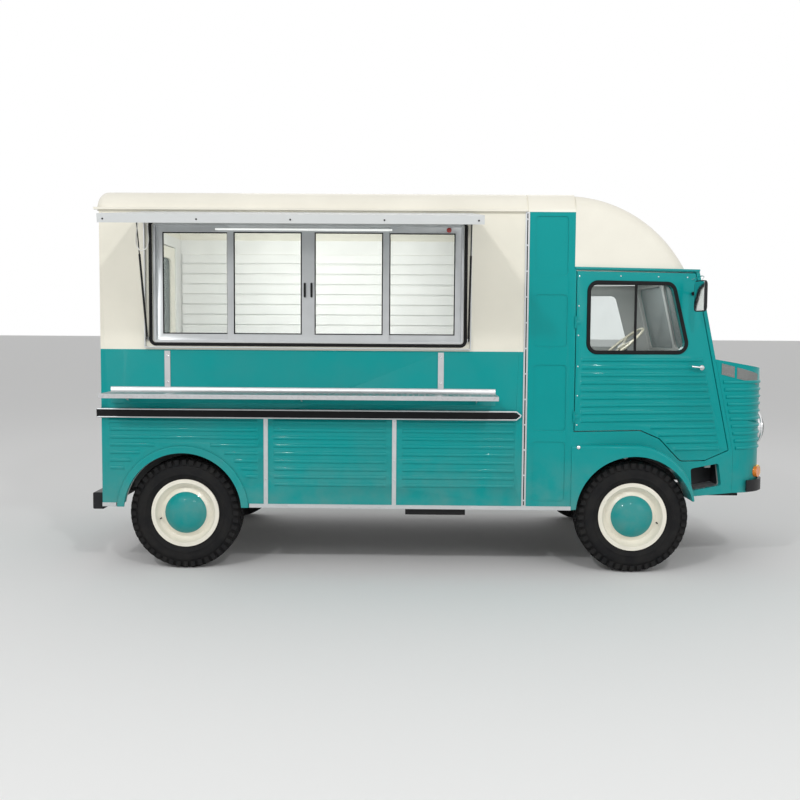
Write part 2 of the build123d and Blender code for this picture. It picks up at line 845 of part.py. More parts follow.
def screen_hole(side):
    low = scuttle + 55
    high = cab_gutter - 62
    near = 26.0
    far_low = cab_half(screen_x(low)) - cab_wall - 42
    far_high = cab_half(screen_x(high)) - cab_wall - 42
    outline = shape((side * near, low), (side * far_low, low), (side * far_high, high), (side * near, high))
    return fillet(outline.vertices(), 45)


def windscreen():
    found = []
    for side in (-1, 1):
        middle = wall / 2
        strip = shape((screen_x(cab_gutter) - middle - pane, cab_gutter), (screen_x(cab_gutter) - middle, cab_gutter),
                      (screen_x(scuttle) - middle, scuttle), (screen_x(scuttle) - middle - pane, scuttle))
        strip = slab_xz(strip, -half, half)
        found.append(strip & slab_yz(screen_hole(side), pillar_front, nose_front))
    return found


def dome_solid(inset):
    """Curved cap over the cab: a crowned section turned about a cross axis, trimmed by the cab's plan."""
    axis_x = pillar_front - dome_centre_back
    top = dome_centre_z + dome_radius - inset
    wide = half + 200
    arc = ThreePointArc((-wide, top - 18), (0, top + dome_crown), (wide, top - 18))
    rest = Polyline((wide, top - 18), (wide, dome_centre_z), (-wide, dome_centre_z), (-wide, top - 18))
    face = Plane(origin=(axis_x, 0, 0), x_dir=(0, 1, 0), z_dir=(1, 0, 0)) * make_face(arc.edges() + rest.edges())
    axis = Axis((axis_x, 0, dome_centre_z), (0, 1, 0))
    body = revolve(face, axis, 90)
    low = cab_gutter - (5 if inset else 0)
    plan = cab_prism(inset, low, 3000, pillar_front - (5 if inset else 0), nose_front)
    body &= plan
    radius = dome_edge_radius - inset
    edges = [edge for edge in body.edges() if edge.length > 500 and edge.bounding_box().max.Z > cab_gutter + 100
             and abs(edge.center().Y) > 600 and edge.bounding_box().max.X - edge.bounding_box().min.X > 400
             and edge.bounding_box().size.Z > 300]
    return fillet(edges, radius)


def cab_roof():
    return dome_solid(0) - dome_solid(dome_sheet)


def front_wings():
    """Wing over each front wheel: flat outside, round crown line, standing out from the tapered side."""
    top = 806.0
    low = 462.0
    tip = front_axle_x + arch_radius + 4
    outline = make_face(
        Polyline((tip, low), (pillar_front, low - 60), (pillar_front, top), (front_axle_x + 18, top)).edges()
        + ThreePointArc((front_axle_x + 18, top), (front_axle_x + 268, top - 118), (tip, low)).edges())
    y0 = -half - 6
    body = slab_xz(outline, y0, -half + 260)
    round_edges = [edge for edge in body.edges().group_by(Axis.Y)[0]
                   if edge.center().Z > 600 and edge.bounding_box().size.X > 200]
    body = fillet(round_edges, 22)
    body -= arch_hole(front_axle_x, -half - 100, -half + 400)
    body -= cab_side(block(-200, 2000, 0, 900, 0, 3000))
    body -= block(0, 3000, -half - 100, 0, 0, 402)
    return both(body)


def nose_plan(inset):
    """Plan of the nose: the cab's taper carried on, with large corners at the front."""
    x0 = screen_x(scuttle) - 100
    x1 = nose_front - inset
    skew = inset / cos_taper
    outline = shape((x0, -cab_half(x0) + skew), (x1, -cab_half(x1) + skew), (x1, cab_half(x1) - skew),
                    (x0, cab_half(x0) - skew))
    corners = outline.vertices().sort_by(Axis.X)[-2:]
    return fillet(corners, nose_corner - inset)


def nose_profile(inset):
    """Side view of the nose, behind it the raked pillar line."""
    gap = 1.0
    high = scuttle - inset
    low = nose_bottom - (5 if inset else 0)
    x_low = pillar_x(740) + pillar_face + gap
    back = -60 if inset else 0
    outline = shape((screen_x(high) + gap + back, high), (x_low + back, 740), (x_low + back, low),
                    (nose_front - inset, low), (nose_front - inset, high - nose_slope),)
    corner = outline.vertices().sort_by(Axis.Z)[-2:-1]
    return fillet(corner, 110 - inset)


def nose_solid(inset):
    return slab_xy(nose_plan(inset), 0, 2000) & slab_xz(nose_profile(inset), -half, half)


def nose_skin():
    shell = nose_solid(0) - nose_solid(nose_sheet)
    for row in range(nose_bead_count):
        shell += nose_bead(door_bead_first + row * door_bead_pitch)
    return shell


def nose_bead(z):
    """Bead that runs round the corner of the nose and stops short of the headlamp."""
    x0 = screen_x(z) + 24
    y1 = grille_width / 2 + 42
    path = FilletPolyline((x0, -cab_half(x0), z), (nose_front, -cab_half(nose_front), z), (nose_front, -y1, z),
                          radius=nose_corner)
    out = Vector(math.sin(math.radians(cab_taper)), -math.cos(math.radians(cab_taper)), 0)
    plane = Plane(origin=path @ 0, x_dir=out, z_dir=path % 0)
    w = bead_width / 2
    arc = ThreePointArc((0, -w), (bead_rise, 0), (0, w))
    back = Polyline((0, w), (-2, w), (-2, -w), (0, -w))
    solid = sweep(plane * make_face(arc.edges() + back.edges()), path=path)
    if abs(z - headlamp_height) < headlamp_radius + 20:
        y_lamp = headlamp_spread / 2 + headlamp_radius + 26
        solid -= block(nose_front - 60, nose_front + 60, -y_lamp, 0, z - 30, z + 30)
    return both(solid)


bonnet_rear = screen_x(scuttle) + 22
bonnet_low = 1212.0
bonnet_axis_z = scuttle + 6


def bonnet_hinges(moving):
    """Hinges along the bonnet's rear edge, the bonnet on +X of the axis."""
    return [hinge_leaf(Plane((bonnet_rear - paint_gap / 2, y, bonnet_axis_z), (1, 0, 0), (0, 1, 0)).location, moving,
                       door_barrel, 9.0) for y in (-330.0, 330.0)]


def nose_shell():
    body = nose_skin()
    half_bonnet = bonnet_width / 2
    body -= block(bonnet_rear - paint_gap, nose_front + 50, -half_bonnet - paint_gap,
                  half_bonnet + paint_gap, bonnet_low - paint_gap, scuttle + 50)
    body -= block(nose_front - 100, nose_front + 50, -grille_width / 2, grille_width / 2, grille_bottom,
                  grille_bottom + grille_height)
    reach = block(screen_x(scuttle) + 6, 3000, -half, half, 0, 2000)
    return body + [leaf & reach for leaf in bonnet_hinges(False)]


def bonnet():
    panel = nose_solid(0) - nose_solid(nose_sheet)
    panel &= block(bonnet_rear, nose_front + 50, -bonnet_width / 2, bonnet_width / 2, bonnet_low, scuttle + 50)
    return panel + bonnet_hinges(True)


def grille():
    """Frame with horizontal bars in the mouth of the nose."""
    y = grille_width / 2
    x0 = nose_front - nose_sheet
    x1 = nose_front + 6
    frame = rectangle(-y, y, grille_bottom, grille_bottom + grille_height)
    frame -= rectangle(-y + 22, y - 22, grille_bottom + 22, grille_bottom + grille_height - 22)
    body = slab_yz(frame, x0, x1)
    pitch = (grille_height - 44) / (grille_bars + 1)
    for row in range(grille_bars):
        z = grille_bottom + 22 + pitch * (row + 1)
        bar = shape((x0 + 4, z - 4), (x1 - 2, z - 12), (x1 - 2, z + 4), (x0 + 4, z + 8))
        body += slab_xz(bar, -y + 20, y - 20)
    return body


def headlamps():
    """Bowl, rim and domed lens of each headlamp, with the small indicator at the corner below."""
    x = nose_front
    bowl = Pos(x, -headlamp_spread / 2, headlamp_height) * Rot(0, 90, 0) * Cylinder(headlamp_radius, 56)
    rim = bowl + Pos(x + 20, -headlamp_spread / 2, headlamp_height) * Rot(0, 90, 0) * Cylinder(
        headlamp_radius + 7, 10)
    rim = fillet(rim.edges().filter_by(GeomType.CIRCLE).sort_by(Axis.X)[-1], 2.5)
    return both(rim - nose_solid(0))


def indicators():
    """Small round lamp on the corner of the nose, facing forward and out."""
    turn = 38.0
    cx = nose_front - nose_corner
    cy = cab_half(nose_front) + nose_corner * tan_taper - nose_corner / cos_taper
    reach = nose_corner + 10
    x = cx + reach * math.cos(math.radians(turn))
    y = cy + reach * math.sin(math.radians(turn))
    lamp = Pos(x, -y, indicator_height) * Rot(0, 0, -turn) * Rot(0, 90, 0) * Cylinder(indicator_radius, 26)
    lamp -= slab_xy(nose_plan(0), indicator_height - 60, indicator_height + 60)
    return both(lamp)


indicator_height = 608.0


def bumpers():
    """Front bar on two blocks and the rear step."""
    z0 = 486.0
    bar = offset(nose_plan(0), bumper_standoff + bumper_sheet) - offset(nose_plan(0), bumper_standoff)
    front = slab_xy(bar, z0, z0 + bumper_height) & block(nose_front - 130, nose_front + 60, -half, half, 0, 800)
    for y in (-300.0, 300.0):
        front += block(nose_front, nose_front + bumper_standoff + 2, y - 30, y + 30, z0 + 8, z0 + 66)
    rear = block(rear_end, body_rear, -half + 30, half - 30, rear_bumper_bottom,
                 rear_bumper_bottom + rear_bumper_height)
    rear = fillet(rear.edges().filter_by(Axis.Y), 8)
    return [front, rear]


# cab inside

def cab_floor():
    """Seat deck over the front wheels, riser and foot floor, as one folded sheet."""
    riser = front_axle_x + riser_ahead
    deck = cab_prism(cab_wall, seat_deck - deck_sheet, seat_deck, pillar_front, riser)
    step = cab_prism(cab_wall, foot_floor, seat_deck, riser - deck_sheet, riser)
    foot = cab_prism(cab_wall, foot_floor, foot_floor + deck_sheet, riser - deck_sheet, screen_x(scuttle) - 40)
    back = block(pillar_front - deck_sheet, pillar_front, -inner, inner, floor_top - floor_thickness, seat_deck)
    body = deck + step + foot + back
    body -= block(riser - 60, 2200, -250, 250, foot_floor - 1, seat_deck + 1)
    hood = block(riser - deck_sheet, screen_x(scuttle) - 40, -280, 280, foot_floor, seat_deck + 60)
    hood -= block(riser - deck_sheet - 1, 2300, -250, 250, foot_floor - 1, seat_deck + 30)
    hood += block(riser - deck_sheet, riser, -280, 280, seat_deck, seat_deck + 60)
    body += hood
    for room in both(cab_side(step_room(8))):
        body -= room
    return body


def load_floor():
    """Flat floor with a box over each rear wheel."""
    body = block(body_rear + wall, pillar_front - deck_sheet, -inner, inner, floor_bottom, floor_top)
    reach = arch_radius + 12
    y1 = -half + wheel_box_depth
    top = arch_height + arch_radius + 10
    for side in (0, 1):
        hole = block(rear_axle_x - reach, rear_axle_x + reach, -half - 1, y1, floor_bottom - 100, top)
        cover = block(rear_axle_x - reach - wheel_box_wall, rear_axle_x + reach + wheel_box_wall, -inner,
                      y1 + wheel_box_wall, floor_bottom, top + wheel_box_wall)
        if side:
            hole = other_side(hole)
            cover = other_side(cover)
        body = body + cover - hole
    return body


engine_length = 470.0
engine_rear = front_axle_x + 220


def chassis():
    """Two box rails with cross members."""
    y = rail_spread / 2
    z0 = rail_bottom
    z1 = rail_bottom + rail_height
    x1 = nose_front - nose_sheet - 30
    rail = block(body_rear, x1, -y - rail_width / 2, -y + rail_width / 2, z0, z1)
    body = rail + other_side(rail)
    for x in (body_rear + 50, -950.0, -300.0, 350.0, 950.0, engine_rear + 60, engine_rear + engine_length - 60, x1 - 30):
        body += block(x - 30, x + 30, -y, y, z0 + 10, z1)
    return body


def axle_beams():
    """Rear axle tube with stub axles, front beam with kingpin eyes, both with spring pads."""
    z = tyre_radius
    y_pad = rail_spread / 2
    hub_y = track / 2
    parts = []
    for x, front in ((rear_axle_x, False), (front_axle_x, True)):
        pin_y = hub_y - kingpin_inset
        end = pin_y if front else hub_y + 8
        tube = rod_y(x, z, axle_tube_radius, -end + (0 if front else 20), end - (0 if front else 20))
        for side in (-1, 1):
            tube += block(x - 45, x + 45, side * y_pad - 28, side * y_pad + 28, z, rail_bottom)
            if front:
                tube += Pos(x, side * pin_y, z) * Cylinder(kingpin_radius + 12, 80)
                tube -= Pos(x, side * pin_y, z) * Cylinder(kingpin_radius + fit, 200)
                tube -= block(x - 80, x + 80, min(side * (pin_y + 3), side * 900), max(side * (pin_y + 3),
                              side * 900), z - 33.9, z + 33.9) - Pos(x, side * pin_y, z) * Cylinder(
                              kingpin_radius + 12, 80)
            else:
                y0 = hub_y - 20
                y1 = hub_y + 46
                tube += rod_y(x, z, stub_radius, min(side * y0, side * y1), max(side * y0, side * y1))
        parts.append(tube)
    return parts


drum_radius = 112.0
disc_out = 50.0
disc_sheet = 8.0


def knuckle(side):
    """Yoke that holds the kingpin, backing plate and stub axle of one front wheel."""
    z = tyre_radius
    pin_y = track / 2 - kingpin_inset
    x = front_axle_x
    face = pin_y + kingpin_radius + 12 + 6
    body = Pos(x, pin_y, z) * Cylinder(kingpin_radius, 120)
    for level in (-1, 1):
        z0 = z + level * 42
        z1 = z + level * 60
        body += block(x - 24, x + 24, pin_y - 24, face + 4, min(z0, z1), max(z0, z1))
    plate = rod_y(x, z, drum_radius, face, face + 8)
    body += plate + rod_y(x, z, stub_radius, face, track / 2 + 46)
    body += block(x - 130, x - 20, pin_y - 20, pin_y + 10, z - 60, z - 44)
    return body if side > 0 else other_side(body)


def rim():
    """Pressed steel wheel about the origin, +Y outwards: rim well, dished disc, drum and hub cap."""
    w = rim_width / 2
    r = rim_radius
    # distance out from the wheel's middle, radius
    outline = ((-w, r), (-w, r - 26), (-w + 34, r - 40), (w - 40, r - 40), (w - 58, r - 62),
               (disc_out - 14, r - 92), (disc_out - 2, hub_cap_radius - 12), (disc_out - 2, stub_radius + 8),
               (disc_out - 32, stub_radius + fit), (disc_out - 2 + disc_sheet, stub_radius + fit),
               (disc_out - 2 + disc_sheet, hub_cap_radius - 14), (disc_out - 6 + disc_sheet, r - 90),
               (w - 50, r - 54), (w - 34, r - 34), (w, r - 24), (w, r), (w - 9, r), (w - 16, r - 26),
               (w - 34, r - 32), (-w + 34, r - 32), (-w + 16, r - 26), (-w + 9, r))
    drum = rod_y(0, 0, drum_radius, disc_out - 27, disc_out - 2) - rod_y(0, 0, stub_radius + fit, -100, 100)
    section = shape(*[(radius, out) for out, radius in outline])
    face = Plane.XY * section
    body = revolve(face, Axis.Y, 360)
    base = disc_out - 2 + disc_sheet
    arc = ThreePointArc((0, base + hub_cap_rise), (hub_cap_radius * 0.62, base + hub_cap_rise * 0.78),
                        (hub_cap_radius, base))
    rest = Polyline((hub_cap_radius, base), (hub_cap_radius, base - 1), (0, base - 1), (0, base + hub_cap_rise))
    cap = revolve(make_face(arc.edges() + rest.edges()), Axis.Y, 360)
    return body + drum + cap


def tyre():
    """Tyre about the origin: flat tread, round shoulders, bulged walls, seated on the rim."""
    w = tyre_width / 2
    bead_w = rim_width / 2 - 10
    r0 = rim_radius + fit - 26
    r1 = tyre_radius
    tread = w - 16
    top = Line((r1, -tread), (r1, tread))
    out_a = ThreePointArc((r1, tread), (r1 - 8, w - 5), (r1 - 26, w - 1))
    out_b = ThreePointArc((r1 - 26, w - 1), (r1 - 75, w), (rim_radius + 1, bead_w - 4))
    seat_a = Line((rim_radius + 1, bead_w - 4), (r0, bead_w - 8))
    foot = Line((r0, bead_w - 8), (r0, -bead_w + 8))
    seat_b = Line((r0, -bead_w + 8), (rim_radius + 1, -bead_w + 4))
    in_b = ThreePointArc((rim_radius + 1, -bead_w + 4), (r1 - 75, -w), (r1 - 26, -w + 1))
    in_a = ThreePointArc((r1 - 26, -w + 1), (r1 - 8, -w + 5), (r1, -tread))
    edges = []
    for curve in (top, out_a, out_b, seat_a, foot, seat_b, in_b, in_a):
        edges += curve.edges()
    return revolve(make_face(edges), Axis.Y, 360)


wheel_rows = (("front_left", front_axle_x, 1), ("front_right", front_axle_x, -1),
              ("rear_left", rear_axle_x, 1), ("rear_right", rear_axle_x, -1))


def place_wheel(piece, x, side):
    turned = piece if side > 0 else other_side(piece)
    return Pos(x, side * track / 2, tyre_radius) * turned


def engine_block():
    return block(engine_rear, engine_rear + engine_length, -215, 215, rail_bottom + rail_height, seat_deck - 10)


def fuel_tank():
    return fillet(block(-19, 355, -inner + 10, -rail_spread / 2 - rail_width / 2, 353, floor_bottom).edges()
                  .filter_by(Axis.X), 14)


def seats():
    """Two seats on the deck: cushion and back, as plain pads."""
    found = []
    for side in (-1, 1):
        y = side * 440
        cushion = block(1090, 1570, y - 230, y + 230, seat_deck, seat_deck + 120)
        back = block(1040, 1150, y - 230, y + 230, seat_deck + 120.3, seat_deck + 560)
        found += [fillet(cushion.edges().filter_by(Axis.Z), 50), fillet(back.edges().filter_by(Axis.X), 50)]
    return found


column_top = (1590.0, 400.0, 1400.0)
column_foot = (1875.0, 400.0, 1060.0)
steering_radius = 205.0


def dashboard():
    """Fascia under the screen with the steering column through it."""
    x1 = screen_x(scuttle) - 40
    fascia = cab_prism(cab_wall + 8, 1170, scuttle, x1 - 190, x1)
    fascia = fillet(fascia.edges().filter_by(Axis.Y).sort_by(Axis.X)[:2], 30)
    axis = Vector(*column_top) - Vector(*column_foot)
    stop = Vector(*column_top) - axis.normalized() * 24
    column = rod_between(column_foot, tuple(stop), 22)
    return fascia + column


def steering_wheel():
    """Thin rim, three spokes and a boss, square to the column."""
    axis = (Vector(*column_top) - Vector(*column_foot)).normalized()
    plane = Plane(origin=column_top, x_dir=(0, 1, 0), z_dir=axis)
    ring = Torus(steering_radius, 11)
    wheel = ring + Pos(0, 0, -8) * Cylinder(30, 26)
    for turn in (90, 210, 330):
        wheel += Rot(0, 0, turn) * (Pos(steering_radius / 2, 0, -4) * Box(steering_radius, 22, 8))
    wheel += Pos(0, 0, -14) * Cylinder(16, 18)
    return plane.location * wheel


def worktop():
    """Cupboard with a worktop under the serving window, along the inside of the wall."""
    x0 = rear_axle_x + arch_radius + 60
    x1 = pillar_rear - 80
    low = worktop_top - worktop_sheet
    base = block(x0, x1, -inner, -inner + 520, floor_top, low)
    top = block(body_rear + wall + 60, x1 + 20, -inner, -inner + 560, low, worktop_top)
    leg = block(body_rear + wall + 60, body_rear + wall + 100, -inner + wheel_box_depth + 20, -inner + 540,
                floor_top, low)
    return base + top + leg


# tail

def tail_door_right():
    y0 = -tail_width / 2
    door = block(body_rear, body_rear + wall - 8, y0, -2.5, tail_bottom, tail_split - 2.5)
    rows = []
    for row in range(bead_count):
        z = bead_first + 20 + row * bead_pitch
        rows.append(block(body_rear - bead_rise * 0.6, body_rear + 1, y0 + 60, -60, z - bead_width / 2,
                          z + bead_width / 2))
    return door + rows + tail_door_hinges(True)


def gate_hole():
    return rectangle(-tail_width / 2 + 110, tail_width / 2 - 110, tail_split + 130, tail_top - 90, 60)


def rear_gate():
    gate = block(body_rear, body_rear + wall - 8, -tail_width / 2, tail_width / 2, tail_split + 2.5, tail_top)
    return gate - slab_yz(gate_hole(), body_rear - 1, body_rear + wall) + gate_hinges(True)


def gate_glass():
    middle = body_rear + (wall - 8) / 2
    return slab_yz(gate_hole(), middle - pane / 2, middle + pane / 2)


def tail_lamps():
    found = []
    for z in (868.0, 751.0):
        lamp = Pos(body_rear - 9, -half + 100, z) * Rot(0, 90, 0) * Cylinder(42, 18)
        lamp = fillet(lamp.edges().sort_by(Axis.X)[0], 6)
        found += both(lamp)
    return found


nodes = {
    "chassis_frame": chassis(),
    "axle_beams": axle_beams(),
    "engine_block": engine_block(),
    "fuel_tank": fuel_tank(),
    "load_floor": load_floor(),
    "cab_floor": cab_floor(),
    "side_wall_right": side_wall_right(),
    "side_wall_left": side_wall_left(),
    "centre_pillars": centre_pillars(),
    "roof": roof(),
    "rear_frame": rear_frame(),
    "cab_shell": cab_shell(),
    "cab_roof": cab_roof(),
    "front_wings": front_wings(),
    "nose_shell": nose_shell(),
    "grille": grille(),
    "headlamps": headlamps(),
    "indicators": indicators(),
    "tail_lamps": tail_lamps(),
    "bumpers": bumpers(),
    "windscreen": windscreen(),
    "serving_window": serving_window(),
    "serving_panes": serving_panes(),
    "window_seal": window_seal(),
    "aluminium_trims": vertical_strips() + opening_trims() + strut_feet(),
    "rub_strips": rub_strips(),
    "serving_shelf": serving_shelf(),
    "worktop": worktop(),
    "seats": seats(),
    "dashboard": dashboard(),
    "steering_wheel": steering_wheel(),
    "bonnet": bonnet(),
    "serving_flap": serving_flap(),
    "pull_cord": pull_cord(),
    "rear_gate": rear_gate(),
    "rear_gate_glass": gate_glass(),
    "tail_door_right": tail_door_right(),
    "tail_door_left": other_side(tail_door_right()),
    "cab_door_right": cab_door_right(),
    "cab_door_left": cab_door_left(),
    "door_glass_right": door_glass(),
    "door_glass_left": other_side(door_glass()),
    "door_fittings_right": door_fittings(),
    "door_fittings_left": [other_side(piece) for piece in door_fittings()],
    "knuckle_left": knuckle(1),
    "knuckle_right": knuckle(-1),
}
for strut_name, strut_x in strut_rows:
    nodes["strut_tube_" + strut_name] = strut_tube(strut_x)
    nodes["strut_rod_" + strut_name] = strut_rod(strut_x)
for wheel_name, wheel_x, wheel_side in wheel_rows:
    nodes["rim_" + wheel_name] = place_wheel(rim(), wheel_x, wheel_side)
    nodes["tyre_" + wheel_name] = place_wheel(tyre(), wheel_x, wheel_side)

solids = {name: Compound(piece) if isinstance(piece, list) else piece for name, piece in nodes.items()}
boxes = [solid.bounding_box() for solid in solids.values()]
shift_x = -(min(box.min.X for box in boxes) + max(box.max.X for box in boxes)) / 2
shift_y = -(min(box.min.Y for box in boxes) + max(box.max.Y for box in boxes)) / 2
door_hinge = cab_side(Location((door_axis_along, -door_barrel - 1, 0))).position
# name, place on the axis before the shift
places = (
    ("wheel_front_left", (front_axle_x, track / 2, tyre_radius)),
    ("wheel_front_right", (front_axle_x, -track / 2, tyre_radius)),
    ("wheel_rear_left", (rear_axle_x, track / 2, tyre_radius)),
    ("wheel_rear_right", (rear_axle_x, -track / 2, tyre_radius)),
    ("steer_left", (front_axle_x, track / 2 - kingpin_inset, tyre_radius)),
    ("steer_right", (front_axle_x, kingpin_inset - track / 2, tyre_radius)),
    ("steering_wheel_turn", column_top),
    ("cab_door_right_swing", (door_hinge.X, door_hinge.Y, door_step)),
    ("cab_door_left_swing", (door_hinge.X, -door_hinge.Y, door_step)),
    ("bonnet_lift", (bonnet_rear - paint_gap / 2, 0, bonnet_axis_z)),
    ("flap_lift", (flap_rear, hinge_y, hinge_z)),
    ("strut_turn_rear", (strut_rows[0][1], foot_y, foot_z)),
    ("strut_turn_front", (strut_rows[1][1], foot_y, foot_z)),
    ("gate_lift", (tail_axis_x, 0, gate_axis_z)),
    ("tail_door_right_swing", (tail_axis_x, -tail_axis_y, tail_split)),
    ("tail_door_left_swing", (tail_axis_x, tail_axis_y, tail_split)),
    ("serving_shelf", (shelf_rear + shelf_length / 2, -half - shelf_depth / 2, shelf_top)),
    ("worktop", (rear_axle_x + 900, -inner + 300, worktop_top)),
    ("load_floor", (0, 300, floor_top)),
    ("roof_crown", (0, 0, roof_crown)),
)
for name, (x, y, z) in places:
    print("place", name, round(x + shift_x, 3), round(y + shift_y, 3), round(z, 3))
strut_turn = math.degrees(math.atan2(foot_y - flap_eye_y, hinge_z - strut_top_along - foot_z)) - strut_lean
print("limits steer", steer_limit, "flap", 90 - flap_droop, "door", door_swing, "bonnet", bonnet_swing,
      "gate", gate_swing, "tail_door", tail_door_swing)
print("strut turn", round(strut_turn, 4), "stroke", round(strut_stroke, 3), "lean", round(strut_lean, 4))
print("shift", round(shift_x, 3), round(shift_y, 3))
os.makedirs("parts", exist_ok=True)
for name, solid in solids.items():
    export_step(Pos(shift_x, shift_y, 0) * solid, "parts/" + name + ".step")
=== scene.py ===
import json
import math

import bmesh
import bpy
from mathutils import Matrix, Vector

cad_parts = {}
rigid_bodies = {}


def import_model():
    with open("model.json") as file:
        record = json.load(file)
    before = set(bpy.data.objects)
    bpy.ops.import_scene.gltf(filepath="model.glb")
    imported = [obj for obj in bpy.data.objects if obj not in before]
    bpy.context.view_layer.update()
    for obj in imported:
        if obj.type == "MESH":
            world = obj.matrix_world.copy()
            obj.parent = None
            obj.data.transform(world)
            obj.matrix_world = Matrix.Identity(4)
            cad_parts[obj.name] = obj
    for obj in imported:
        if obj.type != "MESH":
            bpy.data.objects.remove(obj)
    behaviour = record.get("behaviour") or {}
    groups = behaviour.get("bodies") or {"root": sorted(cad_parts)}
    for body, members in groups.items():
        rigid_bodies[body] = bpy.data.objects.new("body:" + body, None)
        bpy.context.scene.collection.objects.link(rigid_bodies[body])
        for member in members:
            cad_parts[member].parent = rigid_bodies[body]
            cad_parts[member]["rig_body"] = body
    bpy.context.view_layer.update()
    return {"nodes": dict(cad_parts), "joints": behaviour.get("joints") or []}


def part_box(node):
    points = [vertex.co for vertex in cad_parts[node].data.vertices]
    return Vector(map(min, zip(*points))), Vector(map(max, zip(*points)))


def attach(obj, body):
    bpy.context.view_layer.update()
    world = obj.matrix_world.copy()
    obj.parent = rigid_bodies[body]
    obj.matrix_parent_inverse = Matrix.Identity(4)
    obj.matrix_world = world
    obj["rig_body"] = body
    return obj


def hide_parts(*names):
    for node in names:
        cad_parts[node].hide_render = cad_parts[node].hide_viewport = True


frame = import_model()
nodes = frame["nodes"]
joints = {joint["name"]: joint for joint in frame["joints"]}
print("frame loaded", len(nodes), "nodes")


def jointPlace(name):
    return Vector(joints[name]["pos_m"])


frontAxle = jointPlace("wheel_front_left_spin")
rearAxle = jointPlace("wheel_rear_right_spin")
originX = (frontAxle.x + rearAxle.x) / 2  # midway between the axles
originY = (frontAxle.y + rearAxle.y) / 2  # centre plane
halfWidth = 1.0
wheelRadius = frontAxle.z
pillarFront = 1.004  # where the cab's sides start to close in, ahead of mid-wheelbase
cabTaper = math.radians(12.5)


def at(x, y, z):
    return Vector((originX + x, originY + y, z))


def cabFrame(side):
    # directions out of and along a tapered cab side (-1 right, 1 left), and its points by along, out, height
    outward = Vector((math.sin(cabTaper), side * math.cos(cabTaper), 0))
    run = Vector((math.cos(cabTaper), -side * math.sin(cabTaper), 0))
    hinge = at(pillarFront, side * halfWidth, 0)

    def spot(along, out, z):
        return hinge + run * along + outward * out + Vector((0, 0, z))

    return outward, run, spot


# camera at the photograph's angle

cameraSet = {
    "place": (0.018, -7.0, 1.485),
    "lens": 44.0,
    "pitch": -3.9,
    "yaw": 0.70,
    "roll": 0.4,
}


def makeCamera():
    data = bpy.data.cameras.new("camera")
    camera = bpy.data.objects.new("camera", data)
    bpy.context.scene.collection.objects.link(camera)
    data.lens = cameraSet["lens"]
    data.sensor_width = 36.0
    camera.location = at(*cameraSet["place"])
    turn = Matrix.Rotation(math.radians(cameraSet["yaw"]), 3, "Z")
    turn = turn @ Matrix.Rotation(math.radians(90 + cameraSet["pitch"]), 3, "X")
    turn = turn @ Matrix.Rotation(math.radians(cameraSet["roll"]), 3, "Z")
    camera.rotation_euler = turn.to_euler()
    bpy.context.scene.camera = camera


makeCamera()


# shader maths

class Value:
    def __init__(self, tree, socket):
        self.tree = tree
        self.socket = socket

    def combine(self, operation, other, reverse=False):
        first = other if reverse else self
        second = self if reverse else other
        node = self.tree.make("ShaderNodeMath", {"operation": operation}, {0: first, 1: second})
        return Value(self.tree, node.outputs[0])

    def __add__(self, other):
        return self.combine("ADD", other)

    def __radd__(self, other):
        return self.combine("ADD", other)

    def __sub__(self, other):
        return self.combine("SUBTRACT", other)

    def __rsub__(self, other):
        return self.combine("SUBTRACT", other, True)

    def __mul__(self, other):
        return self.combine("MULTIPLY", other)

    def __gt__(self, other):
        return self.combine("GREATER_THAN", other)

    def __lt__(self, other):
        return self.combine("LESS_THAN", other)

    def wave(self):
        return self.combine("SINE", 0.0)

    def size(self):
        return self.combine("ABSOLUTE", 0.0)


class Finish:
    def __init__(self, name):
        self.material = bpy.data.materials.new(name)
        self.material.use_nodes = True
        self.tree = self.material.node_tree
        self.tree.nodes.clear()
        self.output = self.tree.nodes.new("ShaderNodeOutputMaterial")
        self.shader = self.tree.nodes.new("ShaderNodeBsdfPrincipled")
        self.tree.links.new(self.shader.outputs[0], self.output.inputs[0])
        self.coordinates = self.make("ShaderNodeTexCoord", {}, {})

    def put(self, socket, value):
        if isinstance(value, Value):
            self.tree.links.new(value.socket, socket)
        elif isinstance(value, bpy.types.NodeSocket):
            self.tree.links.new(value, socket)
        elif value is not None:
            socket.default_value = value

    def make(self, kind, settings, inputs):
        node = self.tree.nodes.new(kind)
        for key, value in settings.items():
            setattr(node, key, value)
        for key, value in inputs.items():
            self.put(node.inputs[key], value)
        return node

    def axis(self, name):
        found = self.make("ShaderNodeSeparateXYZ", {}, {0: self.coordinates.outputs["Object"]})
        return Value(self, found.outputs[name])

    def noise(self, scale, detail=3.0, stretch=None):
        vector = self.coordinates.outputs["Object"]
        if stretch:
            vector = self.make("ShaderNodeMapping", {}, {"Vector": vector, "Scale": stretch}).outputs[0]
        found = self.make("ShaderNodeTexNoise", {}, {"Vector": vector, "Scale": scale, "Detail": detail})
        return Value(self, found.outputs["Fac"])

    def ramp(self, value, low, high):
        found = self.make("ShaderNodeMapRange", {"clamp": True}, {0: value, 1: low, 2: high})
        return Value(self, found.outputs[0])

    def mix(self, share, first, second):
        found = self.make("ShaderNodeMix", {"data_type": "RGBA"}, {0: share, 6: first, 7: second})
        return found.outputs[2]

    def bump(self, height, strength, distance=0.001):
        inputs = {"Height": height, "Strength": strength, "Distance": distance}
        found = self.make("ShaderNodeBump", {}, inputs)
        return found.outputs[0]

    def finish(self, **sockets):
        for key, value in sockets.items():
            self.put(self.shader.inputs[key.replace("_", " ")], value)
        return self.material


def colour(red, green, blue):
    return (red, green, blue, 1.0)


def dimmed(value, share):
    return colour(*(part * share for part in value[:3]))


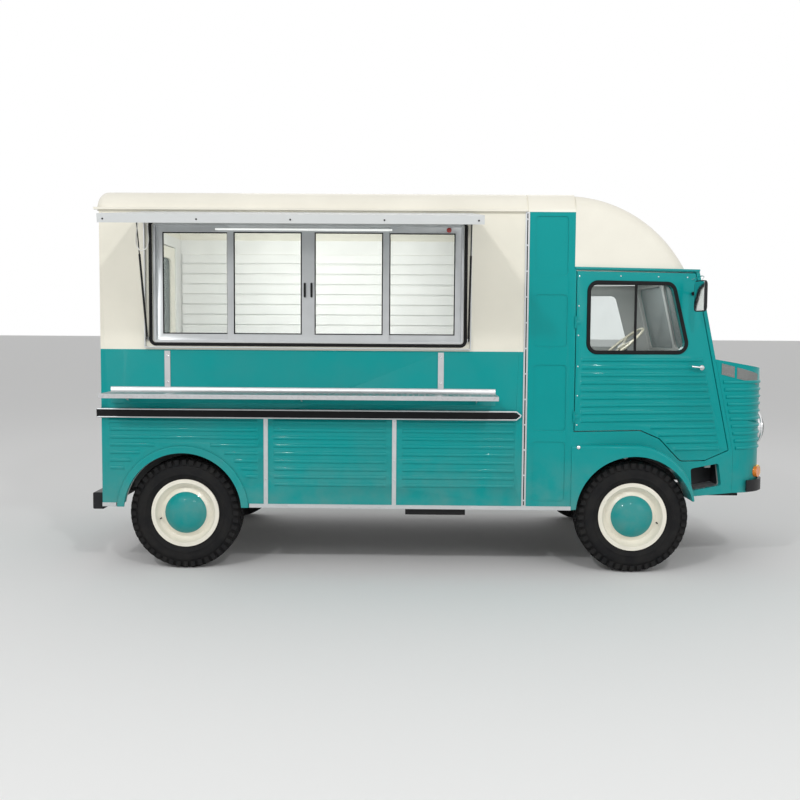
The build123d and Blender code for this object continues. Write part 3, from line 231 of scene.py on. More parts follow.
# colours in linear light
tealColour = colour(0.0006, 0.300, 0.298)
creamColour = colour(0.84, 0.81, 0.70)
roofColour = colour(0.86, 0.83, 0.73)
insideColour = colour(0.80, 0.80, 0.78)
dustColour = colour(0.32, 0.29, 0.24)


def paintLook(look, base, under=None, lowDust=0.55):
    # a coated paint with faint waves in the sheet, soft grime and dust towards the sill
    grime = look.ramp(look.noise(3.1, 6.0), 0.35, 0.75) * 0.10
    dust = (1.0 - look.ramp(look.axis("Z"), 0.30, lowDust + 0.25)) * look.ramp(look.noise(9.0, 5.0), 0.3, 0.8)
    tint = look.mix(grime, base, dimmed(under or tealColour, 0.55))
    tint = look.mix(dust * 0.30, tint, dustColour)
    rough = 0.26 + look.noise(5.0, 4.0) * 0.10 + dust * 0.30
    height = look.noise(420.0, 2.0) * 0.25 + look.noise(2.2, 1.0)
    return look.finish(Base_Color=tint, Roughness=rough, Specular_IOR_Level=0.10, Coat_Weight=0.20,
                       Coat_Roughness=0.07, Normal=look.bump(height, 0.10, 0.004))


def makeTeal():
    return paintLook(Finish("tealPaint"), tealColour)


def makeCream():
    return paintLook(Finish("creamPaint"), roofColour, colour(0.45, 0.40, 0.30))


twoToneSet = {"split": 1.377, "insideFrom": 0.022, "rearEdge": -1.88}


def makeTwoTone(name):
    # side of the load body: teal below the paint line, cream above it, white lining inside
    look = Finish(name)
    outer = look.mix(look.axis("Z") > twoToneSet["split"], tealColour, creamColour)
    depth = (look.axis("Y") - originY).size()
    ahead = look.axis("X") > originX + twoToneSet["rearEdge"]
    inside = (depth < halfWidth - twoToneSet["insideFrom"]) * ahead
    tint = look.mix(inside, outer, insideColour)
    return paintLook(look, tint, colour(0.30, 0.34, 0.30))


cabPaintSet = {"inner": 0.965, "gutter": 1.896, "rake": 0.2254, "screen": 1.785}


def makeCabPaint():
    # teal outside, pale grey lining on the inner faces of the cab
    look = Finish("cabPaint")
    ahead = look.axis("X") - originX
    across = (look.axis("Y") - originY).size()
    inner = (across + (ahead - pillarFront) * math.tan(cabTaper)) < cabPaintSet["inner"]
    behind = (ahead + (look.axis("Z") - cabPaintSet["gutter"]) * cabPaintSet["rake"]) < cabPaintSet["screen"]
    tint = look.mix(inner * behind, tealColour, colour(0.42, 0.43, 0.42))
    return paintLook(look, tint)


shelfFootSet = {"top": 1.0885, "reach": 1.06}


def makeShelfPlate():
    # bare plate, with its foot below the counter painted like the side
    look = Finish("shelfPlate")
    near = (look.axis("Y") - originY).size() < shelfFootSet["reach"]
    foot = (look.axis("Z") < shelfFootSet["top"]) * near
    lines = look.noise(1.0, 4.0, (3.0, 260.0, 260.0))
    marks = look.ramp(look.noise(14.0, 6.0), 0.35, 0.75)
    plate = look.mix(marks * 0.3, colour(0.60, 0.61, 0.62), colour(0.43, 0.44, 0.45))
    return look.finish(Base_Color=look.mix(foot, plate, tealColour), Metallic=0.95 - foot * 0.95,
                       Roughness=0.28 + lines * 0.2, Normal=look.bump(lines, 0.10, 0.0006))


def makeInside():
    look = Finish("insideWhite")
    stain = look.ramp(look.noise(4.0, 4.0), 0.4, 0.8) * 0.12
    return look.finish(Base_Color=look.mix(stain, insideColour, dimmed(insideColour, 0.7)), Roughness=0.45,
                       Normal=look.bump(look.noise(60.0), 0.05))


def makeFlat(name, base, rough, metal=0.0, grain=120.0, depth=0.12, spread=0.12, coat=0.0, shine=0.5):
    look = Finish(name)
    wear = look.ramp(look.noise(7.0, 6.0), 0.3, 0.8)
    tint = look.mix(wear * 0.5, base, dimmed(base, 1.0 - spread * 2))
    return look.finish(Base_Color=tint, Roughness=rough - spread * 0.5 + wear * spread, Metallic=metal,
                       Specular_IOR_Level=shine, Coat_Weight=coat,
                       Normal=look.bump(look.noise(grain, 3.0), depth))


def makeBrushed(name, base, rough, along, spread=0.16):
    look = Finish(name)
    stretch = tuple(3.0 if axis == along else 260.0 for axis in "XYZ")
    lines = look.noise(1.0, 4.0, stretch)
    marks = look.ramp(look.noise(5.0, 6.0), 0.35, 0.75)
    tint = look.mix(marks * 0.5, base, dimmed(base, 0.72))
    return look.finish(Base_Color=tint, Roughness=rough + lines * spread + marks * 0.1, Metallic=0.95,
                       Normal=look.bump(lines, 0.10, 0.0006))


def tyreLook():
    look = Finish("tyreRubber")
    dust = look.ramp(look.noise(14.0, 6.0), 0.35, 0.75)
    tint = look.mix(dust * 0.30, colour(0.010, 0.010, 0.011), colour(0.050, 0.047, 0.042))
    return look.finish(Base_Color=tint, Roughness=0.66 + dust * 0.2, Specular_IOR_Level=0.14,
                       Normal=look.bump(look.noise(380.0), 0.25))


def makeGlass(name, tint, share):
    look = Finish(name)
    clear = look.make("ShaderNodeBsdfTransparent", {}, {"Color": tint})
    facing = look.make("ShaderNodeLayerWeight", {}, {"Blend": 0.35})
    smear = look.ramp(look.noise(6.0, 5.0), 0.35, 0.8) * 0.03
    amount = Value(look, facing.outputs["Fresnel"]) * 0.9 + share + smear
    look.finish(Base_Color=colour(0.30, 0.34, 0.34), Roughness=0.04)
    mixed = look.make("ShaderNodeMixShader", {}, {0: amount, 1: clear.outputs[0], 2: look.shader.outputs[0]})
    look.tree.links.new(mixed.outputs[0], look.output.inputs[0])
    return look.material


def makeVent():
    look = Finish("ventMesh")
    holes = (look.axis("Z") * 900.0).wave() * ((look.axis("X") + look.axis("Y") * 0.8) * 900.0).wave()
    share = look.ramp(holes, -0.1, 0.35)
    # the hole pattern is painted near black: painted shade of the dark space behind the mesh
    tint = look.mix(share, colour(0.34, 0.35, 0.34), colour(0.035, 0.036, 0.036))
    return look.finish(Base_Color=tint, Roughness=0.42, Metallic=0.7, Normal=look.bump(holes, 0.4, 0.002))


def makeLamp(name, base, glow=0.0):
    look = Finish(name)
    ribs = (look.axis("Z") * 520.0).wave() * (look.axis("Y") * 520.0).wave()
    return look.finish(Base_Color=base, Roughness=0.12, Coat_Weight=0.8, Emission_Color=base,
                       Emission_Strength=glow, Normal=look.bump(ribs, 0.20, 0.001))


def makeLeather():
    look = Finish("seatVinyl")
    cells = look.make("ShaderNodeTexVoronoi", {"feature": "DISTANCE_TO_EDGE"},
                      {"Vector": look.coordinates.outputs["Object"], "Scale": 260.0})
    wear = look.ramp(look.noise(9.0, 5.0), 0.35, 0.8)
    tint = look.mix(wear * 0.5, colour(0.035, 0.035, 0.038), colour(0.075, 0.07, 0.068))
    return look.finish(Base_Color=tint, Roughness=0.42 + wear * 0.15,
                       Normal=look.bump(Value(look, cells.outputs[0]), 0.30, 0.0006))


def makeCordCloth():
    look = Finish("cordCloth")
    twist = ((look.axis("Z") + look.axis("X")) * 2600.0).wave() * 0.5 + 0.5
    tint = look.mix(twist * 0.4, colour(0.80, 0.79, 0.75), colour(0.58, 0.57, 0.53))
    return look.finish(Base_Color=tint, Roughness=0.85, Normal=look.bump(twist, 0.5, 0.0006))


finishes = {
    "teal": makeTeal(),
    "cream": makeCream(),
    "cab": makeCabPaint(),
    "shelf": makeShelfPlate(),
    "side": makeTwoTone("sidePaint"),
    "inside": makeInside(),
    "rim": makeFlat("rimPaint", colour(0.90, 0.86, 0.74), 0.34, grain=300.0, depth=0.05, coat=0.3),
    "lip": makeFlat("flapPaint", colour(0.62, 0.64, 0.64), 0.38, grain=300.0, depth=0.05, spread=0.03,
                    coat=0.2),
    "black": makeFlat("blackPaint", colour(0.018, 0.018, 0.02), 0.42, grain=200.0, depth=0.10, shine=0.18),
    "chassis": makeFlat("chassisPaint", colour(0.022, 0.022, 0.023), 0.60, grain=60.0, depth=0.25, shine=0.2),
    "floor": makeFlat("floorSheet", colour(0.16, 0.165, 0.165), 0.55, grain=90.0, depth=0.2),
    "iron": makeFlat("engineIron", colour(0.05, 0.05, 0.05), 0.75, metal=0.3, grain=90.0, depth=0.4),
    "rubber": makeFlat("blackRubber", colour(0.012, 0.012, 0.013), 0.55, grain=500.0, depth=0.15, shine=0.12),
    "dash": makeFlat("dashPlastic", colour(0.055, 0.058, 0.06), 0.55, grain=700.0, depth=0.3),
    "ivory": makeFlat("ivoryPlastic", colour(0.70, 0.66, 0.52), 0.30, grain=300.0, depth=0.03, coat=0.4),
    "aluminium": makeBrushed("aluminium", colour(0.62, 0.64, 0.65), 0.28, "X"),
    "upright": makeBrushed("uprightAluminium", colour(0.62, 0.64, 0.65), 0.28, "Z"),
    "plate": makeBrushed("treadPlate", colour(0.60, 0.61, 0.62), 0.26, "X", 0.22),
    "steel": makeBrushed("worktopSteel", colour(0.55, 0.56, 0.57), 0.30, "X"),
    "chrome": makeFlat("chrome", colour(0.80, 0.81, 0.82), 0.12, metal=1.0, grain=40.0, depth=0.02,
                       spread=0.05),
    "mesh": makeVent(),
    "gold": makeFlat("goldRing", colour(0.85, 0.55, 0.16), 0.15, metal=1.0, grain=40.0, depth=0.02,
                     spread=0.05),
    "tyre": tyreLook(),
    "glass": makeGlass("windowGlass", colour(0.97, 0.985, 0.98), 0.02),
    "lens": makeGlass("lampGlass", colour(0.92, 0.94, 0.94), 0.14),
    "red": makeLamp("redLens", colour(0.42, 0.010, 0.006)),
    "amber": makeLamp("amberLens", colour(0.80, 0.22, 0.015)),
    "strip": makeLamp("lightStrip", colour(0.85, 0.87, 0.85), 0.6),
    "vinyl": makeLeather(),
    "cord": makeCordCloth(),
}
print("finishes made", len(finishes))


# helpers for pieces

def link(name, mesh, body, replaced=()):
    piece = bpy.data.objects.new(name, mesh)
    bpy.context.scene.collection.objects.link(piece)
    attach(piece, body)
    if replaced:
        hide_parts(*replaced)
    return piece


def finishMesh(bm, name, material, angle=35.0, outwards=True):
    if outwards:
        bmesh.ops.recalc_face_normals(bm, faces=bm.faces)
    mesh = bpy.data.meshes.new(name)
    bm.to_mesh(mesh)
    bm.free()
    mesh.materials.append(finishes[material] if isinstance(material, str) else material)
    smoothByAngle(mesh, angle)
    return mesh


def smoothByAngle(mesh, angle):
    mesh.polygons.foreach_set("use_smooth", [True] * len(mesh.polygons))
    mesh.set_sharp_from_angle(angle=math.radians(angle))


def plainMesh(piece):
    # the evaluated piece as a plain mesh, with its modifiers gone
    depsgraph = bpy.context.evaluated_depsgraph_get()
    mesh = bpy.data.meshes.new_from_object(piece.evaluated_get(depsgraph))
    piece.modifiers.clear()
    piece.data = mesh
    return piece


def dress(node, material, bevel=0.0015, angle=32.0, parts=None):
    # a merged, softly edged copy of a CAD node that stands for it
    mesh = nodes[node].data.copy()
    mesh.name = node + "Skin"
    bm = bmesh.new()
    bm.from_mesh(mesh)
    bmesh.ops.remove_doubles(bm, verts=bm.verts, dist=0.00002)
    bmesh.ops.dissolve_limit(bm, angle_limit=math.radians(0.6), verts=bm.verts, edges=bm.edges)
    mesh.materials.clear()
    mesh.materials.append(finishes[material])
    for index, (extra, test) in enumerate(parts or ()):
        mesh.materials.append(finishes[extra])
        for island in islands(bm):
            low, high = islandBox(island)
            if test(low - at(0, 0, 0), high - at(0, 0, 0)):
                for face in island:
                    face.material_index = index + 1
    bm.to_mesh(mesh)
    bm.free()
    smoothByAngle(mesh, angle)
    piece = link(node + "Skin", mesh, nodes[node]["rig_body"], (node,))
    if bevel:
        modifier = piece.modifiers.new("edge", "BEVEL")
        modifier.width = bevel
        modifier.segments = 2
        modifier.limit_method = "ANGLE"
        modifier.angle_limit = math.radians(40.0)
        modifier.harden_normals = True
    return piece


def islands(bm):
    seen = set()
    found = []
    bm.faces.ensure_lookup_table()
    for start in bm.faces:
        if start in seen:
            continue
        group = []
        waiting = [start]
        seen.add(start)
        while waiting:
            face = waiting.pop()
            group.append(face)
            for edge in face.edges:
                for near in edge.link_faces:
                    if near not in seen:
                        seen.add(near)
                        waiting.append(near)
        found.append(group)
    return found


def islandBox(island):
    points = [vertex.co for face in island for vertex in face.verts]
    low = Vector((min(point[i] for point in points) for i in range(3)))
    high = Vector((max(point[i] for point in points) for i in range(3)))
    return low, high


def addBox(bm, low, high):
    place = Matrix.Translation((high + low) / 2)
    bmesh.ops.create_cube(bm, size=1.0, matrix=place @ Matrix.Diagonal((*(high - low), 1.0)))


def addTube(bm, path, radius, sides=10):
    # a round bar along a list of points, closed at both ends
    rings = []
    for index, point in enumerate(path):
        ahead = path[min(index + 1, len(path) - 1)]
        behind = path[max(index - 1, 0)]
        along = (ahead - behind).normalized()
        if rings:
            side = (rings[-1][1] - along * rings[-1][1].dot(along)).normalized()
        else:
            side = along.orthogonal().normalized()
        up = along.cross(side)
        ring = []
        for step in range(sides):
            turn = math.tau * step / sides
            ring.append(bm.verts.new(point + (side * math.cos(turn) + up * math.sin(turn)) * radius))
        rings.append((ring, side))
    for (first, _), (second, _) in zip(rings, rings[1:]):
        for step in range(sides):
            bm.faces.new((first[step], first[(step + 1) % sides], second[(step + 1) % sides], second[step]))
    bm.faces.new(rings[0][0])
    bm.faces.new(rings[-1][0])


def addLathe(bm, profile, place, segments=64):
    # profile of (radius, out) pairs turned about the local Z axis
    rings = []
    for radius, out in profile:
        if radius < 0.00001:
            rings.append([bm.verts.new(place @ Vector((0, 0, out)))])
            continue
        ring = []
        for step in range(segments):
            turn = math.tau * step / segments
            ring.append(bm.verts.new(place @ Vector((radius * math.cos(turn), radius * math.sin(turn), out))))
        rings.append(ring)
    for first, second in zip(rings, rings[1:]):
        for step in range(segments):
            after = (step + 1) % segments
            if len(first) == 1 and len(second) == 1:
                continue
            if len(first) == 1:
                bm.faces.new((first[0], second[step], second[after]))
            elif len(second) == 1:
                bm.faces.new((first[step], first[after], second[0]))
            else:
                bm.faces.new((first[step], first[after], second[after], second[step]))


def pointing(place, outward):
    # a frame whose Z axis points outward
    return Matrix.Translation(place) @ outward.to_track_quat("Z", "Y").to_matrix().to_4x4()


# screws, rivets and treads by geometry nodes

def makeDotTree(name):
    # instances one small form on every point, turned to the point's stored facing
    tree = bpy.data.node_groups.new(name, "GeometryNodeTree")
    tree.interface.new_socket("Geometry", in_out="INPUT", socket_type="NodeSocketGeometry")
    kinds = (("Form", "NodeSocketObject"), ("Scale", "NodeSocketFloat"), ("Finish", "NodeSocketMaterial"))
    for title, kind in kinds:
        tree.interface.new_socket(title, in_out="INPUT", socket_type=kind)
    tree.interface.new_socket("Geometry", in_out="OUTPUT", socket_type="NodeSocketGeometry")
    start = tree.nodes.new("NodeGroupInput")
    end = tree.nodes.new("NodeGroupOutput")
    form = tree.nodes.new("GeometryNodeObjectInfo")
    facing = tree.nodes.new("GeometryNodeInputNamedAttribute")
    facing.data_type = "FLOAT_VECTOR"
    facing.inputs["Name"].default_value = "facing"
    turn = tree.nodes.new("FunctionNodeAlignRotationToVector")
    turn.axis = "Z"
    spread = tree.nodes.new("GeometryNodeInstanceOnPoints")
    real = tree.nodes.new("GeometryNodeRealizeInstances")
    paint = tree.nodes.new("GeometryNodeSetMaterial")
    joins = (
        (start.outputs["Form"], form.inputs["Object"]),
        (facing.outputs["Attribute"], turn.inputs["Vector"]),
        (start.outputs["Geometry"], spread.inputs["Points"]),
        (form.outputs["Geometry"], spread.inputs["Instance"]),
        (turn.outputs["Rotation"], spread.inputs["Rotation"]),
        (start.outputs["Scale"], spread.inputs["Scale"]),
        (spread.outputs["Instances"], real.inputs["Geometry"]),
        (real.outputs["Geometry"], paint.inputs["Geometry"]),
        (start.outputs["Finish"], paint.inputs["Material"]),
        (paint.outputs["Geometry"], end.inputs["Geometry"]),
    )
    for source, target in joins:
        tree.links.new(source, target)
    return tree


dotTree = makeDotTree("dotsOnPoints")
dotInputs = {item.name: item.identifier for item in dotTree.interface.items_tree if item.in_out == "INPUT"}


def makeForm(name, profile, segments):
    bm = bmesh.new()
    addLathe(bm, profile, Matrix.Identity(4), segments)
    bmesh.ops.recalc_face_normals(bm, faces=bm.faces)
    mesh = bpy.data.meshes.new(name)
    bm.to_mesh(mesh)
    bm.free()
    form = bpy.data.objects.new(name, mesh)
    smoothByAngle(mesh, 50.0)
    return form


rivetForm = makeForm("rivetForm", ((0.0060, -0.0006), (0.0060, 0.0006), (0.0048, 0.0020), (0.0024, 0.0030),
                                   (0.0, 0.0032)), 12)
screwForm = makeForm("screwForm", ((0.0070, -0.0006), (0.0070, 0.0008), (0.0058, 0.0024), (0.0030, 0.0030),
                                   (0.0022, 0.0018), (0.0, 0.0018)), 12)


def dots(name, points, facings, form, material, body, scale=1.0):
    mesh = bpy.data.meshes.new(name)
    mesh.from_pydata([tuple(point) for point in points], [], [])
    stored = mesh.attributes.new("facing", "FLOAT_VECTOR", "POINT")
    for index, facing in enumerate(facings):
        stored.data[index].vector = facing
    piece = bpy.data.objects.new(name, mesh)
    bpy.context.scene.collection.objects.link(piece)
    modifier = piece.modifiers.new("dots", "NODES")
    modifier.node_group = dotTree
    modifier[dotInputs["Form"]] = form
    modifier[dotInputs["Scale"]] = scale
    modifier[dotInputs["Finish"]] = finishes[material]
    plainMesh(piece)
    smoothByAngle(piece.data, 50.0)
    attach(piece, body)
    return piece


def spaced(first, last, count):
    return [first + (last - first) * index / (count - 1) for index in range(count)]


# cord under the flap: the route's points follow part.py

cordSet = {
    "rear": -1.465,
    "hingeY": -1.048,
    "hingeZ": 2.203,
    "radius": 0.003,
    "length": 0.3983,
    "flapDroop": 7.5,
    "skinUnder": 0.0135,
    "gap": 0.0005,
    # along, out from the hinge line, height under the flap's skin
    "points": ((0, 0.652, 0), (-0.001, 0.653, -0.036), (-0.007, 0.655, -0.084),
               (-0.011, 0.656, -0.130),
               (-0.003, 0.657, -0.170), (0.022, 0.658, -0.188), (0.049, 0.657, -0.168),
               (0.058, 0.656, -0.128),
               (0.054, 0.655, -0.082), (0.050, 0.653, -0.036), (0.049, 0.652, 0)),
}


def flapUnderside(out):
    droop = math.radians(cordSet["flapDroop"])
    return cordSet["hingeZ"] - out * math.tan(droop) - cordSet["skinUnder"] / math.cos(droop)


def makeCord():
    base = flapUnderside(cordSet["points"][0][1]) - cordSet["gap"]
    route = [at(cordSet["rear"] + dx, cordSet["hingeY"] - out, base + down)
             for dx, out, down in cordSet["points"]]
    curve = bpy.data.curves.new("pullCordLine", "CURVE")
    curve.dimensions = "3D"
    spline = curve.splines.new("NURBS")
    spline.points.add(len(route) - 1)
    for point, place in zip(spline.points, route):
        point.co = (*place, 1.0)
    spline.order_u = 3
    spline.use_endpoint_u = True
    spline.resolution_u = 12
    line = bpy.data.objects.new("pullCordLine", curve)
    bpy.context.scene.collection.objects.link(line)
    depsgraph = bpy.context.evaluated_depsgraph_get()
    drawn = bpy.data.meshes.new_from_object(line.evaluated_get(depsgraph))
    path = [vertex.co.copy() for vertex in drawn.vertices]
    bpy.data.objects.remove(line)
    bm = bmesh.new()
    addTube(bm, path, cordSet["radius"], 12)
    mesh = finishMesh(bm, "pullCord", "cord", 60.0)
    piece = link("pullCord", mesh, "serving_flap", ("pull_cord",))
    tuple(path[0])
    [tuple(point) for point in path]


makeCord()
print("cord made")


# painted and metal pieces that keep their CAD shape

def dressAll():
    # node, finish, slot, bevel
    rows = (
        ("side_wall_right", "side", "teal_paint", 0.0012),
        ("side_wall_left", "side", "teal_paint", 0.0012),
        ("centre_pillars", "teal", "teal_paint", 0.0015),
        ("rear_frame", "side", "teal_paint", 0.002),
        ("roof", "cream", "cream_paint", 0.002),
        ("cab_roof", "cream", "cream_paint", 0.003),
        ("cab_shell", "cab", "teal_paint", 0.002),
        ("front_wings", "teal", "teal_paint", 0.002),
        ("nose_shell", "teal", "teal_paint", 0.002),
        ("bonnet", "teal", "teal_paint", 0.002),
        ("cab_door_right", "cab", "teal_paint", 0.002),
        ("cab_door_left", "cab", "teal_paint", 0.002),
        ("tail_door_right", "teal", "teal_paint", 0.002),
        ("tail_door_left", "teal", "teal_paint", 0.002),
        ("rear_gate", "cream", "cream_paint", 0.002),
        ("bumpers", "black", "bumper_black", 0.003),
        ("chassis_frame", "chassis", "chassis_black", 0.003),
        ("axle_beams", "chassis", "chassis_black", 0.002),
        ("knuckle_left", "chassis", "chassis_black", 0.001),
        ("knuckle_right", "chassis", "chassis_black", 0.001),
        ("fuel_tank", "chassis", "chassis_black", 0.002),
        ("engine_block", "iron", "engine_iron", 0.01),
        ("load_floor", "floor", "floor_grey", 0.002),
        ("cab_floor", "floor", "floor_grey", 0.002),
        ("serving_window", "aluminium", "aluminium", 0.0015),
        ("window_seal", "rubber", "rubber", 0.0),
        ("rub_strips", "rubber", "rubber", 0.003),
        ("serving_shelf", "shelf", "tread_plate", 0.0),
        ("worktop", "steel", "steel", 0.002),
        ("dashboard", "dash", "dash_grey", 0.002),
        ("steering_wheel", "ivory", "wheel_cream", 0.0008),
        ("serving_flap", "lip", "flap_grey", 0.002),
        ("grille", "aluminium", "aluminium", 0.0015),
        ("headlamps", "chrome", "chrome", 0.001),
        ("indicators", "amber", "lamp_amber", 0.003),
        ("tail_lamps", "red", "lamp_red", 0.0),
        ("strut_tube_rear", "black", "strut_black", 0.0005),
        ("strut_tube_front", "black", "strut_black", 0.0005),
        ("strut_rod_rear", "black", "chrome", 0.0003),
        ("strut_rod_front", "black", "chrome", 0.0003),
    )
    for node, material, slot, bevel in rows:
        dress(node, material, bevel)
    dress("aluminium_trims", "upright", 0.0012)
    for side in ("right", "left"):
        dress("door_fittings_" + side, "rubber", 0.001,
              parts=(("chrome", lambda low, high: high.z < 1.33), ("black", lambda low, high: low.z > 1.60)))
    for end in ("front", "rear"):
        for side in ("left", "right"):
            dress("rim_" + end + "_" + side, "rim", 0.0008, 28.0)
    for node in ("windscreen", "serving_panes", "rear_gate_glass", "door_glass_right", "door_glass_left"):
        dress(node, "glass", 0.0)


dressAll()
print("CAD pieces dressed")


# wheels: tyre with its road tread, hub cap with pressed steps

tyreSet = {"half": 0.090, "treadHalf": 0.074, "groove": 0.009, "blocks": 44, "gap": 0.42, "seat": 0.2135}
capSet = {"radius": 0.129, "rise": 0.044, "base": 0.0565}


def tyreProfile():
    # half width out, radius: from one bead over the tread to the other
    top = wheelRadius - tyreSet["groove"]
    half = tyreSet["half"]
    side = [(top, tyreSet["treadHalf"] - 0.006), (top - 0.010, half - 0.015), (top - 0.030, half - 0.010),
            (top - 0.042, half - 0.004), (top - 0.048, half), (top - 0.075, half + 0.0005),
            (top - 0.092, half - 0.001), (top - 0.095, half + 0.001), (top - 0.099, half - 0.003),
            (top - 0.118, half - 0.010), (tyreSet["seat"], half - 0.021),
            (tyreSet["seat"] - 0.012, half - 0.030)]
    return [(r, -out) for r, out in reversed(side)] + [(r, out) for r, out in side]


def makeTyre(end, side):
    body = "wheel_" + end + "_" + side
    hub = jointPlace(body + "_spin")
    turned = Matrix.Translation(hub) @ Matrix.Rotation(math.radians(-90), 4, "X")
    bm = bmesh.new()
    profile = tyreProfile()
    addLathe(bm, profile + [profile[0]], turned, 96)
    top = wheelRadius
    step = math.tau / tyreSet["blocks"]
    # centre across the tread, half width, share of a step it is turned by, lean
    columns = ((-0.0745, 0.0180, 0.0, 0.18), (-0.037, 0.0145, 0.5, -0.16), (0.0, 0.0145, 0.0, 0.16),
               (0.037, 0.0145, 0.5, -0.16), (0.0745, 0.0180, 0.0, 0.18))
    for across, half, offset, lean in columns:
        for index in range(tyreSet["blocks"]):
            turn = step * (index + offset)
            length = top * step * (1 - tyreSet["gap"]) / 2
            shoulder = abs(across) > 0.05
            low = wheelRadius - tyreSet["groove"] - 0.003
            corners = []
            for out in (-half, half):
                for run in (-length, length):
                    skew = lean * out
                    crown = 0.0015 * ((across + out) / 0.09) ** 2
                    drop = 0.011 if shoulder and out * across > 0 else 0.0
                    angle = turn + (run + skew) / top
                    for level in (low - (0.034 if drop else 0.0), top - crown - drop):
                        spot = Vector((level * math.cos(angle), level * math.sin(angle), across + out))
                        corners.append(bm.verts.new(turned @ spot))
            for ring in ((0, 1, 3, 2), (4, 6, 7, 5), (0, 4, 5, 1), (2, 3, 7, 6), (1, 5, 7, 3), (0, 2, 6, 4)):
                bm.faces.new([corners[i] for i in ring])
    mesh = finishMesh(bm, "tyre", "tyre", 40.0)
    link("tyre" + end.title() + side.title(), mesh, body, ("tyre_" + end + "_" + side,))


def makeHubCap(end, side):
    body = "wheel_" + end + "_" + side
    hub = jointPlace(body + "_spin")
    outward = Vector((0, 1 if side == "left" else -1, 0))
    place = pointing(hub, outward)
    r = capSet["radius"]
    base = capSet["base"]
    rise = capSet["rise"]
    # share of the radius, share of the rise
    steps = ((1.0, -0.02), (1.015, 0.03), (1.0, 0.10), (0.94, 0.24), (0.90, 0.36), (0.84, 0.46), (0.80, 0.57),
             (0.74, 0.64), (0.70, 0.73), (0.62, 0.79), (0.58, 0.85), (0.46, 0.91), (0.42, 0.95), (0.28, 0.98),
             (0.24, 1.01), (0.12, 1.02), (0.0, 1.03))
    bm = bmesh.new()
    addLathe(bm, [(r * share, base + rise * height) for share, height in steps], place, 72)
    mesh = finishMesh(bm, "hubCap", "teal", 24.0)
    link("hubCap" + end.title() + side.title(), mesh, body)
    bm = bmesh.new()
    angle = math.radians(194 if end == "rear" else -14)
    foot = hub + outward * 0.045 + Vector((math.cos(angle), 0, math.sin(angle))) * 0.163
    addTube(bm, [foot, foot + outward * 0.012, foot + outward * 0.024], 0.0045, 10)
    mesh = finishMesh(bm, "valve", "rubber")
    link("valve" + end.title() + side.title(), mesh, body)


for wheelEnd in ("front", "rear"):
    for wheelSide in ("left", "right"):
        makeTyre(wheelEnd, wheelSide)
        makeHubCap(wheelEnd, wheelSide)
print("wheels made")


# serving side: rivets, lamp strip, knob, catches and the lining seen through the panes

hatchSet = {
    "rear": -1.635,
    "front": 0.389,
    "hingeY": -1.048,
    "hingeZ": 2.203,
    "reach": 0.829,
    "droop": 7.5,
    "faceUp": 0.0045,
    "rivets": 5,
    "stripRear": -1.19,
    "stripFront": -0.11,
    "knob": 0.236,
}


def onFlap(along, out, over):
    # a point on the open flap: out from the hinge line, over its upper face
    droop = math.radians(hatchSet["droop"])
    level = hatchSet["faceUp"] + over
    return at(along, hatchSet["hingeY"] - out * math.cos(droop) - level * math.sin(droop),
              hatchSet["hingeZ"] - out * math.sin(droop) + level * math.cos(droop))


def flapUp():
    droop = math.radians(hatchSet["droop"])
    return Vector((0, -math.sin(droop), math.cos(droop)))


def flapOut():
    droop = math.radians(hatchSet["droop"])
    return Vector((0, -math.cos(droop), -math.sin(droop)))


stripSet = {"low": 0.960, "high": 1.009, "proud": 0.024, "edge": 0.0055,
            "point": 0.028}


def makeStripEdges():
    # bright edges of the rub strip, closing to a point at the front
    for index, side in enumerate((-1, 1)):
        bm = bmesh.new()
        face = 1.0 + stripSet["proud"]
        middle = (stripSet["low"] + stripSet["high"]) / 2
        low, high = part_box("rub_strips")
        x0 = low.x - originX + 0.004
        x1 = high.x - originX
        for level, lean in ((stripSet["high"], -1), (stripSet["low"], 1)):
            y = side * (face - 0.004)
            route = [at(x0, y, level), at(x1 - stripSet["point"], y, level),
                     at(x1 + 0.001, y, middle - lean * 0.001)]
            addTube(bm, route, stripSet["edge"], 8)
        name = ("stripEdgesRight", "stripEdgesLeft")[index]
        link(name, finishMesh(bm, name, "aluminium", 60.0), "body")
    print("strip edges made")


stepSet = {"rear": 0.803, "front": 1.0153, "low": 0.4955, "high": 0.6765, "depth": 0.1365}


def makeSteps():
    # black liner of the step pocket with a tread plate at its foot
    for index, side in enumerate((-1, 1)):
        spot = cabFrame(side)[2]
        low, high = stepSet["rear"], stepSet["front"]
        back = -stepSet["depth"]
        bm = bmesh.new()
        ring = [bm.verts.new(spot(along, out, z)) for out in (-0.050, back)
                for along, z in ((low, stepSet["low"]), (high, stepSet["low"]), (high, stepSet["high"]),
                                 (low, stepSet["high"]))]
        for face in ((4, 5, 6, 7), (0, 1, 5, 4), (1, 2, 6, 5), (2, 3, 7, 6), (3, 0, 4, 7)):
            bm.faces.new([ring[i] for i in face])
        name = ("Right", "Left")[index]
        link("stepBack" + name, finishMesh(bm, "stepBack", "black"), "body")
        bm = bmesh.new()
        foot = stepSet["low"]
        corners = ((low + 0.006, -0.006, foot + 0.002), (high - 0.006, -0.006, foot + 0.032),
                   (high - 0.006, back + 0.002, foot + 0.044), (low + 0.006, back + 0.002, foot + 0.014))
        quad = [bm.verts.new(spot(*corner)) for corner in corners]
        bm.faces.new(quad)
        link("stepPlate" + name, finishMesh(bm, "stepPlate", "plate"), "body")
        corner = spot(*corners[0])
        makeTread("stepTread" + name, corner, spot(*corners[1]) - corner,
                  spot(*corners[3]) - corner, Vector((0, 0, 1)), "body")
    print("steps made")


noseSet = {"front": 2.294, "corner": 0.230, "halfFront": 0.714, "slope": 13.5, "top": 1.312, "height": 0.070,
           "sheet": 0.0025, "start": 1.968}


